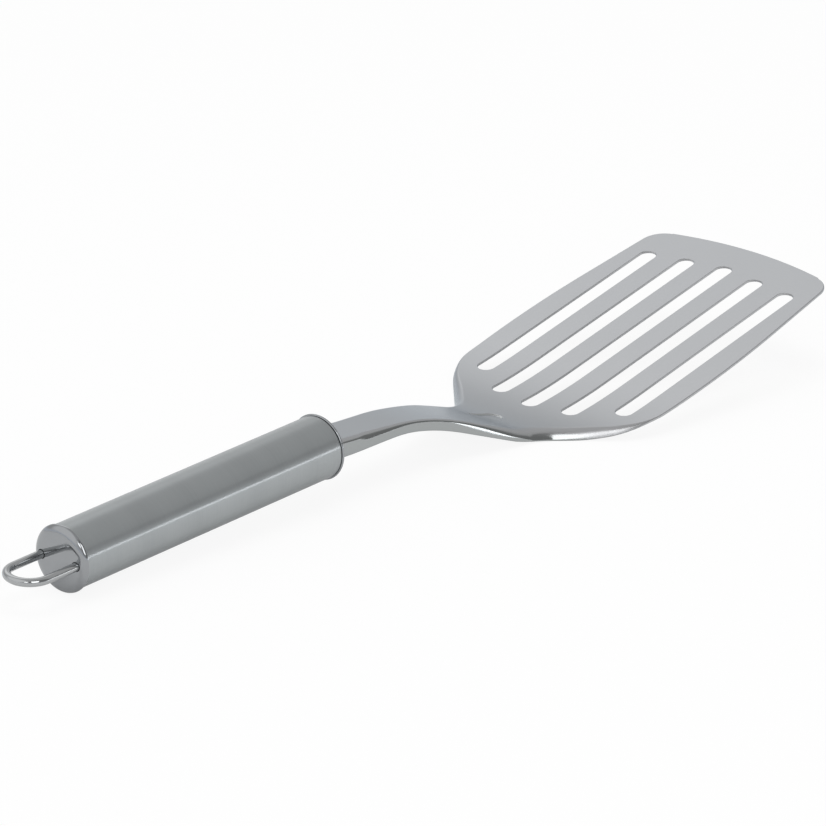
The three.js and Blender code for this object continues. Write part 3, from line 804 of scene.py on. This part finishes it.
    def press(self, piece):
        """Bends a strip along the side view, and keeps each corner's place on the strip for the finish."""
        mesh = piece.data
        self.score_walls(mesh)
        flat = np.array([corner.co for corner in mesh.vertices])
        upright = np.array([face.normal.z for face in mesh.polygons])
        along, across, height = flat.T
        # The last kept value is the polish mask, which also carries painted shade on the rim and in the
        # tongue's wall
        for name, values in zip(KEPT_VALUES, (*flat.T, self.polish_and_shade(along, across, height))):
            mesh.attributes.new(name, "FLOAT", "POINT").data.foreach_set("value", values.astype(np.float32))
        spot = self.side.at(along, self.side.spots)
        ahead = self.side.at(along, self.side.headings)
        ahead /= np.linalg.norm(ahead, axis=1, keepdims=True)
        spot += np.column_stack([-ahead[:, 1], ahead[:, 0]]) * height[:, None]
        bent = np.column_stack([spot[:, 0], across, spot[:, 1]])
        mesh.vertices.foreach_set("co", bent.astype(np.float32).ravel())
        mesh.transform(HANDLE)
        mesh.update()
        self.set_normals(mesh, along, ahead, upright)

    def polish_and_shade(self, along, across, height):
        """How far the press has polished a place, most on the bent rim and on the tongue's wall; the same
        mask darkens the colour there as painted shade.
        """
        sizes = self.sizes
        rim = smooth(-height / self.bend_drop(along), sizes.polish_and_shade_start, 1 + sizes.polish_and_shade_past)
        rim *= 1 - smooth(along - self.heel, -sizes.polish_and_shade_lead, sizes.polish_and_shade_length)
        wall = self.tongue(along, across)[1]
        return np.maximum(rim, wall)

    def score_walls(self, mesh):
        """Splits the long walls of the slots where the sheet bends."""
        shape = bmesh.new()
        shape.from_mesh(mesh)
        steps = np.arange(0, self.flat, FINE_STEP)
        for along in steps[steps >= self.heel]:
            walls = [face for face in shape.faces if abs(face.normal.z) < WALL_UPRIGHT
                     and abs(face.calc_center_median().y) < self.slots_half]
            edges = {edge for face in walls for edge in face.edges}
            corners = {corner for face in walls for corner in face.verts}
            bmesh.ops.bisect_plane(shape, geom=[*walls, *edges, *corners], dist=SCORE_DISTANCE,
                                   plane_co=(along, 0, 0), plane_no=(1, 0, 0))
        shape.to_mesh(mesh)
        shape.free()

    def set_normals(self, mesh, along, ahead, upright):
        """Gives the blade's faces the side view's own normals, so that cuts round the slots don't show."""
        mesh.shade_smooth()
        mesh.set_sharp_from_angle(angle=SHARP_ANGLE)
        turn = np.array(HANDLE.to_3x3())
        upward = np.column_stack([-ahead[:, 1], np.zeros(len(along)), ahead[:, 0]]) @ turn.T
        past = along > self.heel - self.sizes.tongue_before_heel
        normals = np.zeros((len(mesh.loops), 3))
        for side in (1, -1):
            touched = np.zeros(len(along), bool)
            for face in mesh.polygons:
                if side * upright[face.index] > FACE_UPRIGHT:
                    touched[list(face.vertices)] = True
            for face in mesh.polygons:
                if side * upright[face.index] > math.cos(SHARP_ANGLE):
                    for loop, corner in zip(face.loop_indices, face.vertices):
                        if touched[corner] and past[corner]:
                            normals[loop] = side * upward[corner]
        mesh.normals_split_custom_set(normals.tolist())


# Geometry node trees

def shape_tree(name, inputs):
    """A geometry tree with named inputs, and the wire of its group input."""
    tree = bpy.data.node_groups.new(name, "GeometryNodeTree")
    for label, kind in inputs.items():
        tree.interface.new_socket(label, in_out="INPUT", socket_type=f"NodeSocket{kind}")
    tree.interface.new_socket("Geometry", in_out="OUTPUT", socket_type="NodeSocketGeometry")
    return tree, Wire(tree).node("NodeGroupInput")


def close_tree(start, shape):
    """Ends a geometry tree in plain geometry with its material."""
    real = start.node("GeometryNodeRealizeInstances", {}, {0: shape})
    done = start.node("GeometryNodeSetMaterial", {}, {"Geometry": real, "Material": start.out("Material")})
    start.node("NodeGroupOutput", {}, {0: done})


def apply_tree(piece, tree, values):
    """Runs a geometry tree on a piece with values for its named inputs, and keeps the plain mesh."""
    modifier = piece.modifiers.new(tree.name, "NODES")
    modifier.node_group = tree
    for item in tree.interface.items_tree:
        if item.in_out == "INPUT" and item.name in values:
            modifier[item.identifier] = values[item.name]
    bake_modifiers(piece)


def punch_tree():
    """Punches a row of slots with round ends through a flat strip."""
    tree, start = shape_tree("slot_row", {
        "Geometry": "Geometry", "Material": "Material", "Punch": "Object", "Slots": "Int", "Pitch": "Float",
        "Near end": "Float", "Arc": "Float", "Far end": "Float", "Step": "Float",
    })
    pitch = start.out("Pitch")
    first = (1 - start.out("Slots")) * pitch / 2
    row = start.node("GeometryNodeMeshLine", {}, {
        "Count": start.out("Slots"),
        "Start Location": start.vector(0, first, 0),
        "Offset": start.vector(0, pitch, 0),
    })
    across = start.node("ShaderNodeSeparateXYZ", {}, {0: start.node("GeometryNodeInputPosition")}, "Y")
    arc = start.out("Arc")
    near = start.out("Near end") + arc - start.math("SQRT", arc * arc - across * across)
    far = start.out("Far end") - start.out("Step") * start.math("ABSOLUTE", across) / pitch
    for name, value in (("near", near), ("far", far)):
        inputs = {"Geometry": row, "Name": name, "Value": value}
        row = start.node("GeometryNodeStoreNamedAttribute", {}, inputs)
    tool = start.node("GeometryNodeObjectInfo", {}, {"Object": start.out("Punch")}, "Geometry")
    tools = start.node("GeometryNodeInstanceOnPoints", {}, {"Points": row, "Instance": tool})
    tools = start.node("GeometryNodeRealizeInstances", {}, {0: tools})
    along = start.node("ShaderNodeSeparateXYZ", {}, {0: start.node("GeometryNodeInputPosition")}, "X")
    ahead = start.math("GREATER_THAN", along, 0.0)
    kept = [start.node("GeometryNodeInputNamedAttribute", {"data_type": "FLOAT"}, {"Name": name})
            for name in ("near", "far")]
    reach = kept[0] + (kept[1] - kept[0]) * ahead
    offset = start.vector(reach, 0, 0)
    tools = start.node("GeometryNodeSetPosition", {}, {"Geometry": tools, "Offset": offset})
    punched = start.node("GeometryNodeMeshBoolean", {"operation": "DIFFERENCE", "solver": "EXACT"},
                         {"Mesh 1": start.out("Geometry"), "Mesh 2": tools})
    close_tree(start, punched)
    return tree


def wire_tree():
    """Bends a wire along a leg, a half circle and the other leg."""
    tree, start = shape_tree("bent_wire", {
        "Material": "Material", "Wire radius": "Float", "Half width": "Float", "Leg": "Float",
        "Front": "Float", "Steps": "Int", "Sides": "Int",
    })
    leg = start.out("Leg")
    radius = start.out("Half width")
    arc = radius * math.pi
    line = start.node("GeometryNodeCurvePrimitiveLine")
    line = start.node("GeometryNodeResampleCurve", {}, {"Curve": line, "Count": start.out("Steps")})
    run = start.node("GeometryNodeSplineParameter", {}, {}, "Factor") * (2 * leg + arc)
    turn = start.math("MINIMUM", start.math("MAXIMUM", (run - leg) / radius, 0.0), math.pi)
    out = start.math("MINIMUM", run, leg)
    home = start.math("MAXIMUM", run - leg - arc, 0.0)
    along = start.out("Front") - out + home - radius * start.math("SINE", turn)
    across = radius * start.math("COSINE", turn)
    place = start.vector(along, across, 0)
    bent = start.node("GeometryNodeSetPosition", {}, {"Geometry": line, "Position": place})
    ring = start.node("GeometryNodeCurvePrimitiveCircle", {},
                      {"Resolution": start.out("Sides"), "Radius": start.out("Wire radius")})
    inputs = {"Curve": bent, "Profile Curve": ring, "Fill Caps": True}
    close_tree(start, start.node("GeometryNodeCurveToMesh", {}, inputs))
    return tree


# Finishes

def new_material(name):
    """A material with an empty tree, and a wire to start its nodes from."""
    material = bpy.data.materials.new(name)
    material.use_nodes = True
    material.node_tree.nodes.clear()
    return material, Wire(material.node_tree)


def metal(start, inputs):
    """A metal shader with constants and wires on its sockets."""
    return start.node("ShaderNodeBsdfPrincipled", {}, {"Metallic": 1.0, **inputs})


def close_material(start, shader):
    """Ends a material in a shader."""
    start.node("ShaderNodeOutputMaterial", {}, {"Surface": shader})


def bump(start, height, strength, distance):
    """A normal from a height, where distance is the height's full rise in metres."""
    return start.node("ShaderNodeBump", {}, {"Strength": strength, "Distance": distance, "Height": height})


def handle_coordinates(start):
    """Object coordinates turned so that X runs along the handle."""
    place = start.node("ShaderNodeTexCoord", {}, {}, "Object")
    return start.node("ShaderNodeMapping", {}, {"Vector": place, "Rotation": (0, HANDLE_TIP, 0)})


def satin_sheet(finish):
    """Satin steel with a fine grain along the blade, polished where the press has rubbed it; the darker
    colour on the polished rim and the tongue's wall is painted shade.
    """
    material, start = new_material("satin_sheet")
    along, across, height, polish_and_shade = (start.node("ShaderNodeAttribute", {"attribute_name": name}, {}, "Fac")
                                     for name in KEPT_VALUES)
    place = start.vector(along, across, height)
    grain = start.noise(place.scaled(*SHEET_GRAIN), detail=4.0)
    cloud = start.noise(place, SHEET_CLOUD, detail=2.0)
    satin = (1 + grain.swing(0.05) + cloud.swing(0.07)).toned(finish.satin)
    rough = finish.satin_gloss + grain.swing(0.1) + cloud.swing(0.08)
    close_material(start, metal(start, {
        # The darker colour on the rim and in the tongue's wall is painted shade; the lower roughness there
        # is the real polish
        "Base Color": start.blend(polish_and_shade, satin, opaque(finish.polish_and_shade)),
        "Roughness": rough + (finish.rim_gloss - finish.satin_gloss) * polish_and_shade,
        "Specular Tint": opaque(finish.satin_edge),
        "Normal": bump(start, grain, strength=0.12, distance=GRAIN_RISE),
    }))
    return material


def brushed_tube(finish):
    """Steel brushed round the tube: fine lines that run round it, and soft bands along it."""
    material, start = new_material("brushed_tube")
    place = handle_coordinates(start)
    lines = start.noise(place.scaled(*TUBE_LINES), detail=4.0)
    bands = start.noise(place.scaled(*TUBE_BANDS), detail=3.0)
    base = (1 + lines.swing(0.16) + bands.swing(0.12)).toned(finish.brushed)
    normal = bump(start, lines, strength=0.25, distance=GRAIN_RISE)
    crisp, soft = (metal(start, {
        "Base Color": base,
        "Roughness": gloss + lines.swing(0.1),
        "Normal": normal,
    }) for gloss in (finish.brushed_gloss, finish.brushed_haze))
    both = start.node("ShaderNodeMixShader", {}, {0: finish.haze_share, 1: crisp, 2: soft})
    close_material(start, both)
    return material


def polished(name, values, gloss):
    """Polished steel with faint swirls of its buffing."""
    material, start = new_material(name)
    place = handle_coordinates(start)
    swirl = start.noise(place, BUFF_SWIRL, detail=3.0)
    cloud = start.noise(place, BUFF_CLOUD, detail=2.0)
    close_material(start, metal(start, {
        "Base Color": (1 + cloud.swing(0.08)).toned(values),
        "Roughness": gloss + swirl.swing(0.06),
        "Normal": bump(start, swirl, strength=0.04, distance=GRAIN_RISE),
    }))
    return material


def weld_bead(finish):
    """Dull weld metal with ripples and heat tint."""
    material, start = new_material("weld_bead")
    place = handle_coordinates(start)
    ripple = start.noise(place, BEAD_RIPPLE, detail=3.0)
    tint = start.noise(place, BEAD_TINT, detail=1.0).ramp(0.4, 0.7)
    close_material(start, metal(start, {
        "Base Color": start.blend(tint, opaque(finish.bead), opaque(finish.bead_tint)),
        "Roughness": finish.bead_gloss + ripple.swing(0.3),
        "Normal": bump(start, ripple, strength=0.5, distance=RIPPLE_RISE),
    }))
    return material


# Operators

class TURNER_OT_blade(Operator):
    """Build the slotted blade with its shank, pressed from one sheet"""

    bl_idname = "turner.blade"
    bl_label = "Blade"

    def execute(self, context):
        settings = context.scene.turner
        sizes = settings.blade
        sheet = PressedSheet(sizes)
        material = satin_sheet(settings.finish)
        punch = new_piece("slot_punch", self.punch_mesh(sizes))
        piece = new_piece("blade_sheet", sheet.strip())
        radius = sizes.slot_width / 2
        apply_tree(piece, punch_tree(), {
            "Material": material,
            "Punch": punch,
            "Slots": sizes.slots,
            "Pitch": sizes.slot_pitch,
            "Near end": sheet.heel + sizes.slot_after_heel + radius,
            "Arc": sizes.slot_arc,
            "Far end": sheet.tip - sizes.slot_before_tip - radius,
            "Step": sizes.slot_step,
        })
        bpy.data.objects.remove(punch)
        sheet.press(piece)
        dress(piece, "turner_blade", material)
        return {"FINISHED"}

    def punch_mesh(self, sizes):
        """A punch that stands on the sheet and widens at both faces, so that the slots get eased edges."""
        radius = sizes.slot_width / 2
        ease = sizes.slot_round
        over = ease + sizes.sheet / 2
        top = over - ease
        bottom = -sizes.sheet - top
        profile = [
            (0, top), (radius + over, top), (radius, -ease),
            (radius, ease - sizes.sheet), (radius + over, bottom), (0, bottom),
        ]
        mesh = turned_mesh("slot_punch", profile, PUNCH_SIDES)
        half_side = Matrix.Rotation(math.pi / PUNCH_SIDES, 4, "Z")
        mesh.transform(half_side @ Matrix.Rotation(-math.pi / 2, 4, "Y"))
        return mesh


class TURNER_OT_tube(Operator):
    """Build the brushed tube of the handle"""

    bl_idname = "turner.tube"
    bl_label = "Handle tube"

    def execute(self, context):
        settings = context.scene.turner
        sizes = settings.handle
        inside = sizes.tube_radius - sizes.tube_wall
        front = -sizes.front_sheet - sizes.seat_gap
        rear = -sizes.length + sizes.seat_gap
        ease = sizes.edge_round
        profile = [
            (inside, rear),
            *rounded((sizes.tube_radius - ease, rear + ease), ease, -90, 0, EDGE_STEPS),
            *rounded((sizes.tube_radius - ease, front - ease), ease, 0, 90, EDGE_STEPS),
            (inside, front),
            (inside, rear),
        ]
        piece = new_piece("grip_tube", turned_mesh("grip_tube", profile))
        piece.data.transform(HANDLE)
        shade(piece)
        dress(piece, "handle_tube", brushed_tube(settings.finish))
        return {"FINISHED"}


class TURNER_OT_caps(Operator):
    """Build the front cap round the shank and the domed rear cap"""

    bl_idname = "turner.caps"
    bl_label = "End caps"

    def execute(self, context):
        settings = context.scene.turner
        material = polished("polished_cap", settings.finish.cap, settings.finish.polish_gloss)
        front = self.front_cap(settings.handle, settings.blade)
        rear = self.rear_cap(settings.handle, settings.loop)
        for piece, node in ((front, "front_cap"), (rear, "rear_cap")):
            piece.data.transform(HANDLE)
            shade(piece)
            dress(piece, node, material)
        return {"FINISHED"}

    def collar(self, sizes):
        """Outer and inner radius of a cap's collar."""
        outside = sizes.tube_radius - sizes.tube_wall - sizes.fit
        return outside, outside - sizes.collar_wall

    def front_cap(self, sizes, blade):
        """The front cap: a disc with a round rim and a collar, cut by a slot that follows the shank."""
        outside, inside = self.collar(sizes)
        bead = sizes.front_sheet / 2
        end = -sizes.front_sheet - sizes.collar_length
        piece = new_piece("front_end_cap", turned_mesh("front_end_cap", [
            (0, 0),
            *rounded((sizes.front_rim - bead, -bead), bead, 90, -90, 2 * ROLL_STEPS),
            (outside, -sizes.front_sheet), (outside, end), (inside, end), (inside, -sizes.front_sheet),
            (0, -sizes.front_sheet),
        ]))
        half = blade.shank_half + sizes.fit
        gap = blade.shank_half - blade.sheet - blade.rim_draft - sizes.fit
        top = blade.shank_top + sizes.fit
        bottom = blade.shank_top - blade.rim_at_cap - sizes.fit
        under = blade.shank_top - blade.sheet - sizes.fit
        outline = [(-half, bottom), (-gap, bottom), (-gap, under), (gap, under),
                   (gap, bottom), (half, bottom), (half, top), (-half, top)]
        cut(piece, [prism_mesh("shank_slot", outline, -2 * sizes.front_sheet, sizes.front_sheet)])
        return piece

    def rear_cap(self, sizes, loop):
        """The rear cap: a shallow dome with a round edge, a collar and two holes for the wire."""
        outside, inside = self.collar(sizes)
        seat = -sizes.length
        back = seat - sizes.rear_edge_depth
        flat = sizes.rear_rim - sizes.rear_edge_width
        turns = np.linspace(0, math.pi / 2, DOME_STEPS)
        face = [(radius, back) for radius in np.linspace(0, flat, DOME_STEPS)]
        for turn in turns[1:]:
            radius = flat + sizes.rear_edge_width * math.sin(turn)
            face.append((radius, seat - sizes.rear_edge_depth * math.cos(turn)))
        face = [(radius, along - sizes.rear_dome * (1 - (radius / sizes.rear_rim) ** 2))
                for radius, along in face]
        end = seat + sizes.collar_length
        piece = new_piece("rear_end_cap", turned_mesh("rear_end_cap", [
            *face,
            (outside, seat), (outside, end), (inside, end), (inside, seat),
            (0, back - sizes.rear_dome + sizes.rear_sheet),
        ]))
        hole = loop.wire + loop.fit
        low = back - 2 * sizes.rear_dome
        high = seat + sizes.rear_sheet
        cutters = []
        for side in (-1, 1):
            mesh = turned_mesh("leg_hole", [(0, low), (hole, low), (hole, high), (0, high)], PUNCH_SIDES)
            mesh.transform(Matrix.Translation((0, side * loop.half_width, 0)))
            cutters.append(mesh)
        cut(piece, cutters)
        return piece


class TURNER_OT_loop(Operator):
    """Build the wire loop that the turner hangs on"""

    bl_idname = "turner.loop"
    bl_label = "Hanging loop"

    def execute(self, context):
        settings = context.scene.turner
        sizes = settings.loop
        material = polished("polished_wire", settings.finish.wire, settings.finish.polish_gloss)
        piece = new_piece("wire_loop", bpy.data.meshes.new("wire_loop"))
        apply_tree(piece, wire_tree(), {
            "Material": material,
            "Wire radius": sizes.wire,
            "Half width": sizes.half_width,
            "Leg": sizes.leg + sizes.stub,
            "Front": sizes.stub - settings.handle.length,
            "Steps": WIRE_STEPS,
            "Sides": WIRE_SIDES,
        })
        piece.data.transform(HANDLE)
        shade(piece)
        dress(piece, "hanging_loop", material)
        return {"FINISHED"}


class TURNER_OT_welds(Operator):
    """Give the weld beads inside the handle their finish"""

    bl_idname = "turner.welds"
    bl_label = "Weld beads"

    def execute(self, context):
        material = weld_bead(context.scene.turner.finish)
        for name in ("tang_weld", "loop_weld_left", "loop_weld_right"):
            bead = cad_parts[name]
            bead.data.materials.clear()
            bead.data.materials.append(material)
        return {"FINISHED"}


class TURNER_OT_stage(Operator):
    """Set up the floor, the studio's light and the camera"""

    bl_idname = "turner.stage"
    bl_label = "Studio"

    def execute(self, context):
        stage = context.scene.turner.stage
        context.scene.view_settings.view_transform = "Standard"
        self.camera(context.scene, stage)
        self.floor(stage)
        self.studio(context.scene, stage)
        self.softbox("key_softbox", stage.key, KEY_LIGHT, extent=(0.84, 1.0), distance=1.8)
        self.softbox("side_softbox", stage.key, SIDE_LIGHT, extent=(0.4, 0.4), distance=1.8)
        self.softbox("low_strip", stage.strip, STRIP_LIGHT, extent=(1.6, 0.1), distance=1.6)
        top = self.softbox("top_softbox", stage.top, TOP_LIGHT, extent=(1.2, 1.2), distance=1.8)
        top.visible_glossy = False
        return {"FINISHED"}

    def camera(self, scene, stage):
        """The camera, looking at its aim from an azimuth, counted round from -Y, and an elevation."""
        back = self.direction(math.degrees(stage.azimuth) - 90, math.degrees(stage.elevation))
        data = bpy.data.cameras.new("camera")
        data.lens = stage.lens
        camera = bpy.data.objects.new("camera", data)
        scene.collection.objects.link(camera)
        turn = (-back).to_track_quat("-Z", "Y").to_matrix() @ Matrix.Rotation(stage.roll, 3, "Z")
        camera.matrix_world = Matrix.Translation(Vector(stage.aim) + back * stage.distance) @ turn.to_4x4()
        scene.camera = camera

    def direction(self, azimuth, elevation):
        """A unit vector from degrees round from +X and up from the horizon."""
        turn = math.radians(azimuth)
        rise = math.radians(elevation)
        return Vector((math.cos(turn) * math.cos(rise), math.sin(turn) * math.cos(rise), math.sin(rise)))

    def softbox(self, name, brightness, way, extent, distance):
        """A rectangular lamp of an even brightness that faces the object."""
        data = bpy.data.lights.new(name, "AREA")
        data.shape = "RECTANGLE"
        data.size, data.size_y = extent
        data.energy = brightness * math.pi * extent[0] * extent[1]
        lamp = bpy.data.objects.new(name, data)
        bpy.context.scene.collection.objects.link(lamp)
        out = self.direction(*way)
        turn = (-out).to_track_quat("-Z", "Y").to_matrix()
        lamp.matrix_world = Matrix.Translation(out * distance) @ turn.to_4x4()
        lamp.visible_camera = False
        return lamp

    def floor(self, stage):
        """A pale floor that keeps the object's shadow, near white to the camera and paler in reflections."""
        material, start = new_material("pale_floor")
        rays = start.node("ShaderNodeLightPath", {}, {}, "Is Camera Ray")
        mirrored = start.math("MAXIMUM", rays.out("Is Glossy Ray"), rays.out("Is Transmission Ray"))
        white_share = start.math("MAXIMUM", rays * stage.floor_white, mirrored * stage.floor_shine)
        matte = start.node("ShaderNodeBsdfDiffuse", {}, {"Color": opaque(stage.floor_colour)})
        white = start.node("ShaderNodeEmission", {}, {"Strength": 1.0})
        mix = start.node("ShaderNodeMixShader", {}, {0: white_share, 1: matte, 2: white})
        close_material(start, mix)
        corners = [(FLOOR_REACH * x, FLOOR_REACH * y, -FLOOR_DROP)
                   for x, y in ((-1, -1), (1, -1), (1, 1), (-1, 1))]
        mesh = closed_mesh("floor", corners, [(0, 1, 2, 3)])
        mesh.materials.append(material)
        new_piece("floor", mesh)

    def area(self, start, way, azimuth, elevation, end, full):
        """A round area of the studio about a direction: 1 where it is full and 0 where it ends."""
        aim = tuple(self.direction(azimuth, elevation))
        cosine = start.node("ShaderNodeVectorMath", {"operation": "DOT_PRODUCT"}, {0: way, 1: aim}, "Value")
        return cosine.ramp(end, full)

    def studio(self, scene, stage):
        """The room's light: grey walls, a pale back and horizon, a window, a low sheen and dark areas."""
        world = bpy.data.worlds.new("studio")
        world.use_nodes = True
        world.node_tree.nodes.clear()
        start = Wire(world.node_tree)
        way = start.node("ShaderNodeTexCoord", {}, {}, "Generated")
        up = start.node("ShaderNodeSeparateXYZ", {}, {0: way}, "Z")
        window, sheen, back, dark, low = (self.area(start, way, *place)
                                          for place in (WINDOW, SHEEN, BACK_WALL, DARK_CORNER, LOW_DARK))
        dark = start.math("MAXIMUM", dark, low * (1 - up.ramp(*LOW_DARK_TOP))) * up.ramp(*DARK_FOOT)
        tone = stage.wall + (stage.window - stage.wall) * window + (stage.back - stage.wall) * back
        wall = start.vector(tone, tone, tone)
        tone = start.blend(1 - up.ramp(*HORIZON_RISE), wall, opaque(stage.horizon))
        tone = start.blend(sheen * stage.sheen, tone, opaque((1, 1, 1)))
        tone = start.blend(dark, tone, opaque((stage.corner,) * 3))
        rays = start.node("ShaderNodeLightPath", {}, {}, "Is Camera Ray")
        tone = start.blend(rays, tone, opaque((1, 1, 1)))
        light = start.node("ShaderNodeBackground", {}, {"Color": tone, "Strength": 1.0})
        start.node("ShaderNodeOutputWorld", {}, {"Surface": light})
        scene.world = world


class TURNER_PT_panel(Panel):
    """Lists the steps that build the turner and what they can be given"""

    bl_label = "Turner"
    bl_idname = "TURNER_PT_panel"
    bl_space_type = "VIEW_3D"
    bl_region_type = "UI"
    bl_category = "Turner"

    def draw(self, context):
        settings = context.scene.turner
        for operator, group in STEPS:
            box = self.layout.box()
            box.operator(operator.bl_idname)
            for name in group.__annotations__ if group else ():
                box.prop(getattr(settings, GROUPS[group]), name)


STEPS = [
    (TURNER_OT_stage, StageSizes),
    (TURNER_OT_blade, BladeSizes),
    (TURNER_OT_tube, HandleSizes),
    (TURNER_OT_caps, None),
    (TURNER_OT_loop, LoopSizes),
    (TURNER_OT_welds, Finishes),
]
GROUPS = {
    BladeSizes: "blade",
    HandleSizes: "handle",
    LoopSizes: "loop",
    Finishes: "finish",
    StageSizes: "stage",
}
CLASSES = [*GROUPS, TurnerSettings, *(operator for operator, _ in STEPS), TURNER_PT_panel]


def register():
    """Registers the classes and the scene's settings."""
    for each in CLASSES:
        bpy.utils.register_class(each)
    bpy.types.Scene.turner = PointerProperty(type=TurnerSettings)


def unregister():
    """Removes the settings and the classes."""
    del bpy.types.Scene.turner
    for each in reversed(CLASSES):
        bpy.utils.unregister_class(each)


def main():
    """Builds every piece in order."""
    register()
    bpy.ops.turner.stage()
    bpy.ops.turner.blade()
    bpy.ops.turner.tube()
    bpy.ops.turner.caps()
    bpy.ops.turner.loop()
    bpy.ops.turner.welds()


if __name__ == "__main__":
    main()
